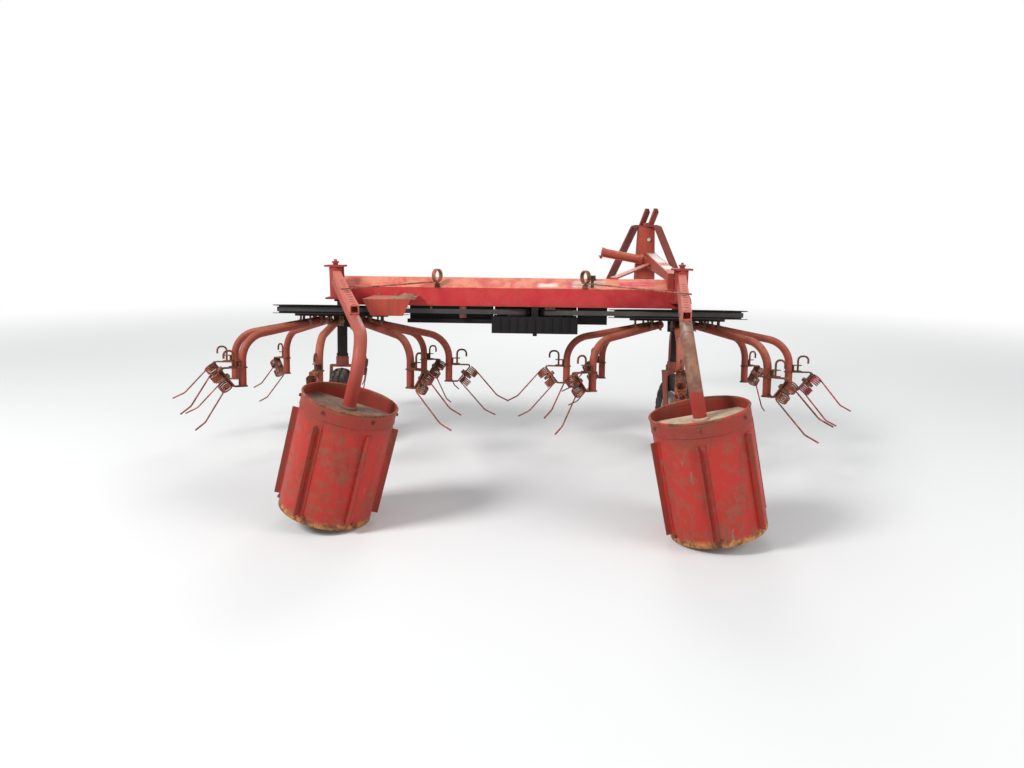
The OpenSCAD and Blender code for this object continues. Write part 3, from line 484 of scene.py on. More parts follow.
def drum_red(side):
    """Scuffed drum paint, mottled with earth, with an orange rust band round the lower edge."""
    stand = on_drum(side)
    middle, axis = stand.translation, stand.col[2].to_3d()

    def surface(g):
        coat = g.group("coat", Paint=(0.50, 0.024, 0.020, 1), Bleached=(0.52, 0.10, 0.065, 1),
                       Bleaching=0.5, Rust_Cover=0.30, Chip_Scale=24.0, Dirt=0.35)
        at = g.place()
        zone = g.span(g.noise(at, 6.0, 5, 0.65), 0.38, 0.60, 0.12, 1.0)
        mottle = g.times(g.span(g.noise(at, 95.0, 8, 0.75), 0.44, 0.60, 0.0, 0.75), zone)
        film = g.times(g.span(g.noise(at, 24.0, 7, 0.7), 0.42, 0.66, 0.0, 0.55), zone)
        scuffs = g.span(g.noise(g.stretch(at, (30, 30, 8)), 1.0), 0.66, 0.72, 0.0, 0.7)
        height = g.minus(g.measure("DOT_PRODUCT", at, axis), middle.dot(axis))
        ragged = g.plus(height, g.times(g.noise(at, 18.0), 0.03))
        from_middle = g.measure("DISTANCE", at, middle)
        radius = g.math("SQRT", g.minus(g.math("POWER", from_middle, 2.0),
                                        g.math("POWER", height, 2.0)))
        orange = g.mix(g.span(g.noise(at, 30.0, 6, 0.7), 0.40, 0.60), (0.13, 0.055, 0.025, 1),
                       (0.50, 0.22, 0.075, 1))
        shade = coat["Color"]
        for mask, colour in (
                (g.group("scrapes", Amount=0.7)["Mask"], (0.07, 0.035, 0.022, 1)),
                (mottle, (0.17, 0.055, 0.032, 1)),
                (film, (0.24, 0.10, 0.058, 1)),
                (scuffs, (0.20, 0.16, 0.12, 1)),
                # The ribs and the stretch below the band are duller
                (g.span(radius, DRUM_R + 0.004, DRUM_R + 0.012, 0.0, 0.62), (0.20, 0.048, 0.032, 1)),
                (g.span(ragged, -0.110, -0.030, 0.0, 0.62), (0.20, 0.042, 0.028, 1)),
                (g.span(ragged, 0.030 - DRUM_H, 0.052 - DRUM_H, 0.95, 0.0), orange),
                (g.span(ragged, -0.002, 0.008, 0.0, 0.7), (0.22, 0.085, 0.045, 1))):
            shade = g.mix(mask, shade, colour)
        return shade, coat["Roughness"], coat["Height"]
    return shaded(f"drum red {side}", surface)


# Each paint's second colour is its paler upward face: partly sun-bleached paint, partly painted
# sunlight
MATERIALS = {material.name: material for material in (
    painted("frame red", (0.56, 0.020, 0.036, 1), (0.78, 0.27, 0.17, 1), 0.95, 0.20, 26, 0.12,
            marks=True),
    painted("bracket red", (0.34, 0.030, 0.034, 1), (0.40, 0.12, 0.09, 1), 0.8, 0.34, 34, 0.4),
    painted("boom red", (0.40, 0.058, 0.036, 1), (0.55, 0.175, 0.110, 1), 0.95, 0.20, 34, 0.25,
            dust=0.05),
    painted("guard red", (0.43, 0.056, 0.036, 1), (0.50, 0.145, 0.09, 1), 0.9, 0.30, 30, 0.35,
            dust=0.2),
    painted("head red", (0.22, 0.032, 0.025, 1), (0.40, 0.11, 0.07, 1), 0.6, 0.30, 40, 0.4),
    painted("arm red", (0.31, 0.050, 0.032, 1), (0.43, 0.130, 0.072, 1), 0.9, 0.34, 42, 0.3,
            dust=0.15),
    painted("fork red", (0.26, 0.045, 0.032, 1), (0.40, 0.15, 0.10, 1), 0.7, 0.36, 36, 0.5,
            dust=0.3),
    painted("drum arm red", (0.40, 0.046, 0.036, 1), (0.44, 0.12, 0.080, 1), 0.6, 0.22, 30, 0.2,
            dust=0.12, earth=True),
    drum_red("left"),
    drum_red("right"),
    rusted("drum rim", (0.12, 0.04, 0.022, 1), (0.32, 0.12, 0.06, 1), (0.45, 0.05, 0.035, 1), 0.55, 80),
    rusted("holder rust", (0.065, 0.026, 0.017, 1), (0.25, 0.095, 0.045, 1), (0.36, 0.075, 0.05, 1),
           0.45),
    rusted("tine rust", (0.10, 0.032, 0.02, 1), (0.34, 0.105, 0.06, 1), (0.46, 0.10, 0.065, 1), 0.5,
           90),
    rusted("pink coil", (0.17, 0.035, 0.03, 1), (0.40, 0.07, 0.07, 1), (0.52, 0.06, 0.095, 1), 0.55,
           90),
    rusted("tube rust", (0.18, 0.060, 0.038, 1), (0.41, 0.145, 0.090, 1), (0.53, 0.14, 0.10, 1),
           0.85, 80),
    rusted("spring steel", (0.13, 0.05, 0.03, 1), (0.40, 0.19, 0.11, 1), (0.55, 0.14, 0.10, 1), 0.5,
           80),
    rusted("strap rust", (0.07, 0.028, 0.017, 1), (0.26, 0.10, 0.045, 1), (0.50, 0.08, 0.06, 1), 0.3,
           120),
    rusted("bolt steel", (0.10, 0.06, 0.045, 1), (0.34, 0.20, 0.12, 1), (0.35, 0.33, 0.30, 1), 0.3,
           200),
    dusty("pale bolt", (0.60, 0.55, 0.48, 1), (0.45, 0.33, 0.22, 1), 0.4, 0.4, 30.0),
    dusty("black paint", (0.008, 0.007, 0.007, 1), DUST, 0.08, 0.5),
    dusty("dark steel", (0.020, 0.014, 0.012, 1), (0.17, 0.085, 0.055, 1), 0.55, 0.6, 6.0),
    dusty("hub steel", (0.022, 0.014, 0.012, 1), (0.11, 0.065, 0.045, 1), 0.5, 0.65, 6.0),
    dusty("belt rubber", (0.055, 0.052, 0.050, 1), (0.17, 0.155, 0.135, 1), 0.8, 0.85, 14.0, 300),
    dusty("tyre rubber", (0.016, 0.016, 0.016, 1), DUST, 0.75, 0.8, 12.0, 220),
    dusty("rim grey", (0.42, 0.41, 0.38, 1), (0.32, 0.25, 0.18, 1), 0.7, 0.6, 16.0),
    dusty("cross plate", (0.44, 0.31, 0.21, 1), (0.70, 0.56, 0.41, 1), 0.9, 0.85, 22.0, 60),
    # The left drum's cross plate and collar are darker and browner than the right drum's
    dusty("darker cross plate", EARTH_DARK, (0.31, 0.22, 0.16, 1), 0.85, 0.9, 16.0, 60),
    dusty("dry earth", EARTH, (0.46, 0.38, 0.28, 1), 0.9, 0.95, 40.0, 60),
    dusty("blank label", (0.78, 0.75, 0.68, 1), (0.62, 0.42, 0.32, 1), 0.75, 0.5, 40.0),
)}

# The finish of each node, by its name with or without its side
NODE_FINISH = {
    "beam": "frame red", "pivot_bracket": "bracket red", "boom": "boom red", "post": "boom red",
    "cross_tube": "boom red", "brace": "boom red", "guard_plate": "guard red",
    "headstock_leg": "head red", "head_strap": "head red", "top_link_ears": "head red",
    "gearbox": "black paint", "drive_pulley": "dark steel", "belt": "belt rubber",
    "arm_spring": "spring steel", "column": "dark steel", "belt_rim": "dark steel",
    "hub": "hub steel", "tine_arms": "arm red", "tine_holders": "holder rust",
    "lock_pins": "holder rust", "tines": "tine rust", "castor_fork": "fork red",
    "wheel": "rim grey", "tyre": "tyre rubber", "drum_arm": "drum arm red",
    "notched_tube": "tube rust", "drum_left": "drum red left", "drum_right": "drum red right",
    "drum_cross_left": "darker cross plate", "drum_cross_right": "cross plate",
}


def finish_nodes():
    """Gives each node its finish in place of the plain one that it was loaded with."""
    for name, node in frame["nodes"].items():
        plain = name.removesuffix("_left").removesuffix("_right")
        node.data.materials.clear()
        node.data.materials.append(MATERIALS[NODE_FINISH.get(name) or NODE_FINISH[plain]])


finish_nodes()


# Making of pieces


def add_object(name, data):
    thing = bpy.data.objects.new(name, data)
    bpy.context.scene.collection.objects.link(thing)
    return thing


def to_mesh(name, shape):
    mesh = bpy.data.meshes.new(name)
    bmesh.ops.recalc_face_normals(shape, faces=shape.faces)
    shape.to_mesh(mesh)
    shape.free()
    return mesh


def piece(name, shape, body, finish, smooth_angle):
    """Makes a piece of a shape in one finish and lets it ride on its body."""
    mesh = to_mesh(name, shape)
    thing = add_object(name, mesh)
    mesh.materials.append(MATERIALS[finish])
    mesh.shade_smooth()
    mesh.set_sharp_from_angle(angle=math.radians(smooth_angle))
    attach(thing, body)
    return thing


def join_rings(shape, rings):
    """Faces between each ring of corners and the next one."""
    for low, high in zip(rings, rings[1:]):
        for i in range(len(low)):
            j = (i + 1) % len(low)
            shape.faces.new((low[i], low[j], high[j], high[i]))


def close_ends(shape, rings):
    shape.faces.new(rings[0][::-1])
    shape.faces.new(rings[-1])


def add_turned(shape, matrix, profile, sides):
    """A turned solid from (radius, height) pairs, closed at both ends."""
    rings = [[shape.verts.new(matrix @ point) for point in circle(radius, height, sides)]
             for radius, height in profile]
    join_rings(shape, rings)
    close_ends(shape, rings)


def add_tube(shape, points, radius_at, sides, closed=False):
    """A round bar along points; radius_at(i) gives its radius at each point."""
    count = len(points)
    rings = []
    side = None
    for i, point in enumerate(points):
        if closed:
            way = points[(i + 1) % count] - points[i - 1]
        else:
            way = points[min(i + 1, count - 1)] - points[max(i - 1, 0)]
        way = way.normalized()
        if side is None:
            side = way.orthogonal().normalized()
        side = (side - way * side.dot(way)).normalized()
        other = way.cross(side)
        radius = radius_at(i)
        rings.append([shape.verts.new(point + (side * math.cos(a) + other * math.sin(a)) * radius)
                      for a in full_turn(sides)])
    if closed:
        join_rings(shape, [*rings, rings[0]])
    else:
        join_rings(shape, rings)
        close_ends(shape, rings)


def add_plate(shape, matrix, size, edge=0.0015):
    """A flat plate with broken edges, its middle at the matrix's origin."""
    made = bmesh.ops.create_cube(shape, size=1.0, matrix=matrix @ Matrix.Diagonal((*size, 1)))
    edges = {e for v in made["verts"] for e in v.link_edges}
    bmesh.ops.bevel(shape, geom=list(edges), offset=edge, segments=1, affect="EDGES")


def add_bolt(shape, matrix, across, washer=True):
    """A hex head that stands on a washer, with the chamfer of a real head."""
    corner_r, head = across / math.sqrt(3), across * 0.62
    base = 0.0
    if washer:
        base = across * 0.12
        add_turned(shape, matrix, [(corner_r * 1.15, -0.0004), (corner_r * 1.18, base * 0.8),
                                   (corner_r * 1.1, base)], 24)
    add_turned(shape, matrix, [(corner_r, base - 0.0004), (corner_r, base + head * 0.86),
                               (corner_r * 0.86, base + head)], 6)


def bolts(name, places, across, body, finish="bolt steel"):
    shape = bmesh.new()
    for place in places:
        add_bolt(shape, place, across)
    piece(name, shape, body, finish, 30)


def weld(name, lines, radius, body, finish, rings=()):
    """Weld beads along lines and closed rings: tubes that swell with every ripple of the weld."""
    shape = bmesh.new()
    for corners, closed in [(ring, True) for ring in rings] + [(line, False) for line in lines]:
        ends = [*corners, corners[0]] if closed else corners
        points = []
        for a, b in zip(ends, ends[1:]):
            steps = max(2, round((b - a).length / 0.003))
            points += [a.lerp(b, k / steps) for k in range(steps)]
        if not closed:
            points.append(corners[-1])
        add_tube(shape, points, lambda i: radius * (1 + 0.22 * math.sin(i * 2.1)), 6, closed)
    piece(name, shape, body, finish, 60)


# Wheels


def tyre(side):
    """A small farm tyre: rounded body, three ribs between zigzag grooves and shoulder lugs."""
    around, zigzag, lug_gap = 96, 0.0022, 0.007
    # Half the profile, from a bead inward: (distance from the middle plane, radius, on a lug)
    half = [(-0.038, BEAD_R, 0), (-0.046, BEAD_R + 0.014, 0), (-0.0495, 0.165, 0),
            (-0.049, 0.188, 0), (-0.044, 0.207, 1), (-0.036, 0.2185, 1), (-0.027, 0.2225, 1),
            (-0.020, 0.2240, 0), (-0.0165, 0.2185, 0), (-0.0125, 0.2185, 0), (-0.0095, 0.2262, 0)]
    profile = half + [(0.0, TYRE_R, 0)] + [(-x, radius, lug) for x, radius, lug in reversed(half)]
    place = on_wheel(side)
    shape = bmesh.new()
    rings = []
    for i, angle in enumerate(full_turn(around)):
        ring = []
        for x, radius, lug in profile:
            if lug and i % 4 == 0:
                radius -= lug_gap
            if 0.005 < abs(x) < 0.021:
                x += zigzag if i // 2 % 2 else -zigzag
            ring.append(shape.verts.new(place @ Vector((radius * math.cos(angle),
                                                        radius * math.sin(angle), x))))
        rings.append(ring)
    join_rings(shape, [*rings, rings[0]])
    thing = piece(f"tyre_body_{side}", shape, f"wheel_{side}", "tyre rubber", 32)
    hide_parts(f"tyre_{side}")


def wheel_fasteners(side):
    """Four bolts on both faces of the wheel's disc and a nut on both ends of its axle."""
    bolt_r, disc, axle = 0.058, 0.0102, 0.0715
    faces = [on_wheel(side) @ rotated(flip, "X") for flip in (0, math.pi)]
    places = [face @ rotated(angle) @ shift((bolt_r, 0, disc))
              for face in faces for angle in full_turn(4)]
    bolts(f"wheel_bolts_{side}", places, 0.017, f"wheel_{side}")
    bolts(f"axle_nuts_{side}", [face @ shift((0, 0, axle)) for face in faces], 0.03,
          f"castor_{side}")


def column_ring(side):
    """The ring at the foot of the fixed column."""
    foot_z = 0.5165
    place = leaned(shift((SIDES[side] * ROTOR_X, 0, foot_z)))
    shape = bmesh.new()
    add_turned(shape, place, [(0.0302, 0), (0.0345, 0.001), (0.0345, 0.016), (0.0302, 0.018)], 36)
    piece(f"column_ring_{side}", shape, "frame", "dark steel", 30)


# Rotors


def arm_clamp_bolts(side):
    """Bolts that hang from the hub plate on both sides of each arm, with their nuts."""
    shape = bmesh.new()
    for arm in arms(side):
        for r in (0.165, 0.24):
            for y in (-0.033, 0.033):
                place = arm @ shift((r, y, HUB_PLATE_Z)) @ rotated(math.pi, "X")
                add_turned(shape, place, [(0.006, -0.001), (0.006, 0.052), (0.005, 0.055)], 10)
                add_bolt(shape, place @ shift((0, 0, 0.022)), 0.019)
    piece(f"arm_bolts_{side}", shape, f"rotor_{side}", "bolt steel", 30)


def holder_bolts(side):
    """The bolt through each holder's slanted plate that clamps the double coil."""
    foot, _, out = holder_plate()
    clamp = 0.0155
    shape = bmesh.new()
    for arm in arms(side):
        inner = arm @ facing(foot - out * (HOLDER_T / 2), -out)
        add_turned(shape, inner, [(0.017, -0.0004), (0.0175, 0.003), (0.0165, 0.0035)], 20)
        add_bolt(shape, inner @ shift((0, 0, 0.0033)), 0.024, washer=False)
        outer = arm @ facing(foot + out * (HOLDER_T / 2 + clamp), out)
        add_turned(shape, outer, [(0.0155, -0.001), (0.016, 0.003), (0.0085, 0.0034),
                                  (0.0085, 0.028), (0.007, 0.030)], 16)
        add_bolt(shape, outer @ shift((0, 0, 0.0032)), 0.022, washer=False)
    piece(f"holder_bolts_{side}", shape, f"rotor_{side}", "bolt steel", 30)


def double_tines(side):
    """Each double tine as one wire: leg, coil, bridge under the plate, coil, leg."""
    plate, along, out = holder_plate()
    centre = plate + out * (HOLDER_T / 2 + 0.0323)
    wire, bridge_wire, bridge, coil, knee_r = 0.0042, 0.0039, 0.017, 0.0415, 0.012
    tine_way, tip_way = sloped(*TINE_SLOPE), sloped(*TIP_SLOPE)
    steps = 20
    shape = bmesh.new()
    for number, arm in enumerate(arms(side)):
        before = len(shape.faces)
        points = []
        for end in (1, -1):
            start = centre + along * end * bridge
            turns = []
            for k in range(round(COIL_TURNS * steps) + 1):
                angle = -math.tau * k / steps
                spoke = Vector((0, -1, 0)) * math.cos(angle) + out * math.sin(angle)
                turns.append(start + along * end * (coil - COIL_PITCH * k / steps) + spoke * COIL_R)
            knee = turns[0] + tine_way * TINE_LEN
            bend = [knee - tine_way * knee_r * (1 - t) ** 2 + tip_way * knee_r * t ** 2
                    for t in (0.0, 0.25, 0.5, 0.75, 1.0)]
            leg = list(reversed(bend + [knee + tip_way * TIP_LEN])) + turns
            points += leg if end > 0 else list(reversed(leg))
        straight = len(bend) + 1
        points = [arm @ point for point in points]
        last = len(points) - 1
        add_tube(shape, points, lambda i: bridge_wire if straight <= i <= last - straight else wire, 8)
        add_turned(shape, arm @ facing(plate + out * (HOLDER_T / 2 + 0.0003), out),
                   [(0.012, 0), (0.013, 0.001), (0.013, 0.016)], 20)
        if side == "right" and number == PINK_ARM:
            shape.faces.ensure_lookup_table()
            for face in shape.faces[before:]:
                face.material_index = 1
    thing = piece(f"tine_wires_{side}", shape, f"rotor_{side}", "tine rust", 50)
    thing.data.materials.append(MATERIALS["pink coil"])
    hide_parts(f"tines_{side}")


# Drums and their arms


def drum_rims(side):
    """The rolled upper edge and the bead round the lower edge."""
    shape = bmesh.new()
    for radius, height, wire in ((DRUM_R + 0.0005, -0.002, 0.0052),
                                 (DRUM_R - 0.0035, 0.0045 - DRUM_H, 0.0035)):
        route = [on_drum(side) @ point for point in circle(radius, height, 96)]
        add_tube(shape, route, lambda i: wire * (1 + 0.05 * math.sin(i * 1.7)), 10, closed=True)
    piece(f"drum_rims_{side}", shape, f"drum_{side}", "drum rim", 60)


def drum_bolts(side):
    """Two bolts beside each rib: one in the upper band, one near the lower edge."""
    places = []
    for ahead, reach, height in ((4, DRUM_R + 0.0018, -0.028), (9, DRUM_R - 0.0002, 0.030 - DRUM_H)):
        places += [rib @ facing(Vector((reach, 0, height)), (1, 0, 0)) for rib in on_ribs(side, ahead)]
    bolts(f"drum_bolts_{side}", places, 0.012, f"drum_{side}", "strap rust")


def drum_welds(side):
    """The bead under the band, the sheet's seam and the stitches on both sides of each rib."""
    drum = on_drum(side)
    ring = [drum @ point for point in circle(DRUM_R + 0.0012, -0.0585, 96)]
    seam = drum @ rotated(math.radians(DRUM_SEAM[side]))
    lines = [[seam @ Vector((DRUM_R, 0, z)) for z in (-0.008, -0.50)]]
    lowest, pitch, length = -0.485, 0.118, 0.035
    for rib in on_ribs(side):
        for y in (-0.0026, 0.0275):
            x = math.sqrt((DRUM_R + 0.0004) ** 2 - y * y)
            for k in range(4):
                z = lowest + pitch * k
                lines.append([rib @ Vector((x, y, z)), rib @ Vector((x, y, z + length))])
    weld(f"drum_welds_{side}", lines, 0.0021, f"drum_{side}", f"drum red {side}",
         rings=[ring])


def drum_collar(side):
    """The collar round the spindle on the cross plate."""
    shape = bmesh.new()
    add_turned(shape, on_drum(side) @ shift((0, 0, -0.0422)),
               [(0.036, 0), (0.037, 0.006), (0.033, 0.012), (0.0215, 0.0125), (0.0212, 0)], 40)
    piece(f"drum_collar_{side}", shape, f"drum_{side}", NODE_FINISH[f"drum_cross_{side}"],
          40)


def tube_welds(side):
    """Stitch welds that hold the notched tube on the drum arm."""
    axis, top = drum_axis(side)
    root = Vector((0, -0.020, ARM_Z))
    corner = Vector((0, -ARM_REACH, top)) + axis * ((ARM_END_Z - top) / axis.z)
    way = (corner - root).normalized()
    place = (on_arm(side) @ shift(root) @ rotated(math.atan2(way.y, way.x))
             @ rotated(-math.asin(way.z), "Y"))
    height, length, pitch = 0.0272, 0.05, 0.11
    lines = []
    for y in (-0.018, 0.018):
        for k in range(9):
            x = 0.05 + pitch * k
            lines.append([place @ Vector((x, y, height)), place @ Vector((x + length, y, height))])
    weld(f"tube_welds_{side}", lines, 0.0034, f"drum_arm_{side}", "drum arm red")


def grease_nipple(side):
    """The nipple on the inner side of a drum arm's sleeve."""
    inward = -SIDES[side]
    sleeve = shift(spot(SIDES[side] * ROTOR_X, ARM_PIVOT_Y, ARM_Z))
    shape = bmesh.new()
    add_turned(shape, sleeve @ facing(Vector((0.0365 * inward, 0, 0.04)), (inward, 0, 0)),
               [(0.0055, -0.001), (0.0055, 0.004), (0.003, 0.005), (0.003, 0.010), (0.004, 0.012),
                (0.002, 0.015)], 12)
    piece(f"grease_nipple_{side}", shape, f"drum_arm_{side}", "bolt steel", 30)


def bracket_bolt(side):
    """The bolt on the cap of a drum arm's pin."""
    low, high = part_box(f"pivot_bracket_{side}")
    pin = Vector(((low.x + high.x) / 2, low.y + 0.041, high.z - 0.0005))
    bolts(f"pivot_cap_bolt_{side}", [facing(pin, UP, 0.3)], 0.016, "frame")


# Beam, boom and headstock


def beam_straps():
    """Rusty straps and a thin bolt that hang from the beam's rear lower edge."""
    thick = 0.005
    shape = bmesh.new()
    for x, low, wide in ((-0.261, 0.762, 0.040), (0.253, 0.806, 0.060)):
        middle = (low + BEAM_Z) / 2
        add_plate(shape, shift(spot(x, BEAM_REAR_Y, middle)), (wide, thick, BEAM_Z - low + 0.001))
        add_plate(shape, shift(spot(x, -0.048, low + thick / 2)), (wide, 0.028, thick))
        add_bolt(shape, facing(spot(x, BEAM_REAR_Y - thick / 2, middle), REARWARD), 0.016)
    x, y = -0.451, -0.055
    add_turned(shape, facing(spot(x, y, BEAM_Z), DOWN),
               [(0.0045, -0.001), (0.0045, 0.026), (0.003, 0.028)], 10)
    add_bolt(shape, facing(spot(x, y, BEAM_Z - 0.008), DOWN), 0.013, washer=False)
    piece("beam_straps", shape, "frame", "strap rust", 30)


def beam_top_bolts():
    """The upright bolt beside the right spring and nuts on the springs' feet."""
    shape = bmesh.new()
    foot = spot(0.497, -0.045, 0.949)
    add_turned(shape, facing(foot, UP), [(0.009, -0.004), (0.009, 0.040), (0.021, 0.0405),
                                         (0.022, 0.047), (0.020, 0.050)], 20)
    add_bolt(shape, facing(foot + Vector((0, 0, 0.0495)), UP), 0.032, washer=False)
    for x in (-0.412, 0.455):
        add_bolt(shape, facing(spot(x, -0.058, BEAM_TOP_Z + 0.0005), UP), 0.027)
    piece("beam_top_bolts", shape, "frame", "strap rust", 30)


def guard_trim():
    """The guard's bolts and the clod of dry earth that lies on its flange."""
    guard_x, top = -0.65, 0.892
    bolts("guard_bolts", [facing(spot(guard_x + x, -0.092, top), UP, 0.4) for x in (-0.10, 0.0, 0.10)],
          0.016, "frame")
    shape = bmesh.new()
    for x, y, r, tall in ((-0.545, -0.318, 0.036, 0.030), (-0.585, -0.330, 0.026, 0.016),
                          (-0.620, -0.325, 0.020, 0.010)):
        centre = spot(x, y, top - 0.002)
        for vert in bmesh.ops.create_icosphere(shape, subdivisions=4, radius=1.0)["verts"]:
            p = vert.co.copy()
            lump = (1 + 0.16 * math.sin(7 * p.x + 3 * p.y) * math.sin(6 * p.y - 2 * p.z)
                    + 0.10 * math.sin(17 * p.x - 9 * p.z) * math.sin(15 * p.y + 4 * p.x))
            size = Vector((r * 1.3, r * 0.8, tall)) * lump
            vert.co = centre + Vector((p.x * size.x, p.y * size.y, max(p.z, 0) * size.z))
    piece("earth_clod", shape, "frame", "dry earth", 80)


def boom_labels():
    """Two worn labels without any print on the boom's sloping top."""
    shape = bmesh.new()
    for y0, y1, corner in ((0.47, 1.02, 0.006), (0.13, 0.31, 0.024)):
        middle = (y0 + y1) / 2
        top = BOOM_FOOT[1] + (middle - BOOM_FOOT[0]) * BOOM_SLOPE
        place = shift(spot(BOOM_X, middle, top)) @ rotated(math.atan(BOOM_SLOPE), "X")
        half = Vector((0.0265, (y1 - y0) / 2))
        outline = []
        for quarter, (sx, sy) in enumerate(((1, 1), (-1, 1), (-1, -1), (1, -1))):
            for k in range(5):
                angle = math.pi / 2 * (quarter + k / 4)
                outline.append((sx * (half.x - corner) + corner * math.cos(angle),
                                sy * (half.y - corner) + corner * math.sin(angle)))
        rings = [[shape.verts.new(place @ Vector((x, y, z))) for x, y in outline]
                 for z in (-0.0003, 0.0006)]
        join_rings(shape, rings)
        close_ends(shape, rings)
    piece("boom_labels", shape, "frame", "blank label", 30)


def frame_welds():
    """Welds at both ends of the boom and along the pivot brackets."""
    x0, x1 = BOOM_X - BOOM_W / 2, BOOM_X + BOOM_W / 2
    end_y, end_z = BOOM_HEAD[0] - 0.0005, BOOM_HEAD[1] - 0.0002
    bracket_y = -0.0655
    lines = []
    for x in (x0, x1):
        lines.append([spot(x, BEAM_REAR_Y, 0.9432), spot(x, 0.035, 0.9945), spot(x, 0.085, 0.9945)])
        lines.append([spot(x, end_y, 1.036), spot(x, end_y, 1.129)])
    lines.append([spot(x0, -0.0622, 0.9415), spot(x1, -0.0622, 0.9415)])
    lines.append([spot(x0, end_y, end_z), spot(x1, end_y, end_z)])
    for side in SIDES.values():
        for x in (side * ROTOR_X - 0.037, side * ROTOR_X + 0.037):
            lines.append([spot(x, bracket_y, 0.874), spot(x, bracket_y, 0.938)])
    weld("frame_welds", lines, 0.0032, "frame", "boom red")


def cross_tube_trim():
    """The clamp ring where the cross tube meets the boom and the bolt at its free end."""
    root = spot(BOOM_X - BOOM_W / 2, 1.0, 1.078)
    tilt = math.atan2(0.056, 0.320)
    way = Vector((-math.cos(tilt), 0, math.sin(tilt)))
    down = Vector((-math.sin(tilt), 0, -math.cos(tilt)))
    shape = bmesh.new()
    add_turned(shape, facing(root + way * 0.026, way),
               [(0.0282, 0), (0.0350, 0.001), (0.0360, 0.004), (0.0360, 0.022), (0.0350, 0.025),
                (0.0282, 0.026)], 40)
    add_bolt(shape, facing(root + way * 0.322 + down * 0.0338, down), 0.018)
    piece("cross_tube_trim", shape, "frame", "boom red", 30)


def headstock_trim():
    """Linch pins in the lower link pins, the ring below the post's pivot and the ears' welds."""
    head = shift(spot(POST.x, POST.y, 0)) @ rotated(-HEAD_TURN)
    shape = bmesh.new()
    for side in SIDES.values():
        pin = head @ shift((side * 0.424, 0, HITCH.z))
        add_turned(shape, pin, [(0.0045, -0.026), (0.0045, 0.020), (0.0075, 0.021), (0.0075, 0.026)],
                   10)
        ring = pin @ shift((0, -0.018, 0.0105)) @ rotated(math.radians(-24), "X")
        add_tube(shape, [ring @ point for point in circle(0.021, 0, 28)], lambda i: 0.0017, 6,
                 closed=True)
    add_turned(shape, head @ shift((0, 0, 0.7675)) @ rotated(math.pi, "X"),
               [(0.0335, -0.009), (0.034, -0.003), (0.0252, -0.0028), (0.0252, -0.009)], 32)
    piece("headstock_pins", shape, "headstock", "bolt steel", 30)
    lines = []
    for x, rear, front, z in ((0.040, -0.038, 0.036, 1.3248), (0.030, -0.038, 0.036, 1.3248),
                              (0.068, -0.050, 0.050, 1.3246)):
        for side in SIDES.values():
            lines.append([head @ Vector((side * x, rear, z)), head @ Vector((side * x, front, z))])
    weld("headstock_welds", lines, 0.0028, "headstock", "head red")


def post_bolt():
    """The pale bolt on the rear of the post."""
    bolts("post_bolt", [facing(spot(0.953, POST.y - 0.052, 1.222), REARWARD, 0.2)], 0.019, "frame",
          "pale bolt")


# Gearbox and belts


def gearbox_trim():
    """Cover bolts, the drain plug, the input flange's bolts and the cooling ribs."""
    (x0, x1), (low, top) = GEARBOX_X, GEARBOX_Z
    shaft = Vector(((x0 + x1) / 2, GEARBOX_Y + 0.039, (low + top) / 2))
    box = leaned(Matrix.Identity(4))
    shape = bmesh.new()
    for x in (x0 + 0.02, x0 + 0.10, x1 - 0.10, x1 - 0.02):
        for y in (0.016 - GEARBOX_Y, GEARBOX_Y - 0.016):
            add_bolt(shape, box @ facing(Vector((x, y, top)), UP), 0.014)
    add_bolt(shape, box @ facing(Vector((shaft.x, -0.020, low)), DOWN), 0.022)
    for angle in full_turn(6):
        out = Vector((math.cos(angle + 0.3), 0, math.sin(angle + 0.3)))
        add_bolt(shape, box @ facing(shaft + out * 0.036, FORWARD), 0.008, washer=False)
    piece("gearbox_bolts", shape, "frame", "black paint", 30)
    shape = bmesh.new()
    for way in (-1, 1):
        for k in range(9):
            x = x0 + 0.05 + 0.05 * k
            # The front ribs leave room for the input flange
            if way < 0 or abs(x - shaft.x) >= 0.07:
                add_plate(shape, box @ shift((x, way * (GEARBOX_Y + 0.003), shaft.z)),
                          (0.006, 0.0068, 0.082), 0.001)
    piece("gearbox_ribs", shape, "frame", "black paint", 30)


def black_sheets(name, place, sheets):
    """Thin black sheets from (left, right, rear, front, low, high) in a place's frame."""
    shape = bmesh.new()
    for x0, x1, y0, y1, z0, z1 in sheets:
        middle = Vector(((x0 + x1) / 2, (y0 + y1) / 2, (z0 + z1) / 2))
        add_plate(shape, place @ shift(middle), (x1 - x0, y1 - y0, z1 - z0), 0.0004)
    piece(name, shape, "frame", "black paint", 30)


def drive_shade_sheet():
    """The black sheet in front of the drive pulleys, slotted where the belts pass; its black is painted
    shade that darkens the space under the beam.
    """
    (x0, x1), low, high = GEARBOX_X, GEARBOX_Z[1] - 0.0004, 0.829
    slot_low, slot_high, lap = 0.775, 0.812, 0.0002
    rear, front = 0.1170, 0.1200
    sheets = [(0.03, 0.29, low, high)]
    for end0, end1 in ((x0, 0.03), (0.29, x1)):
        sheets += [(end0, end1, low, slot_low), (end0, end1, slot_high, high)]
    black_sheets("drive_shade_sheet", leaned(Matrix.Identity(4)),
                 [(a - lap, b + lap, rear, front, z0, z1) for a, b, z0, z1 in sheets])


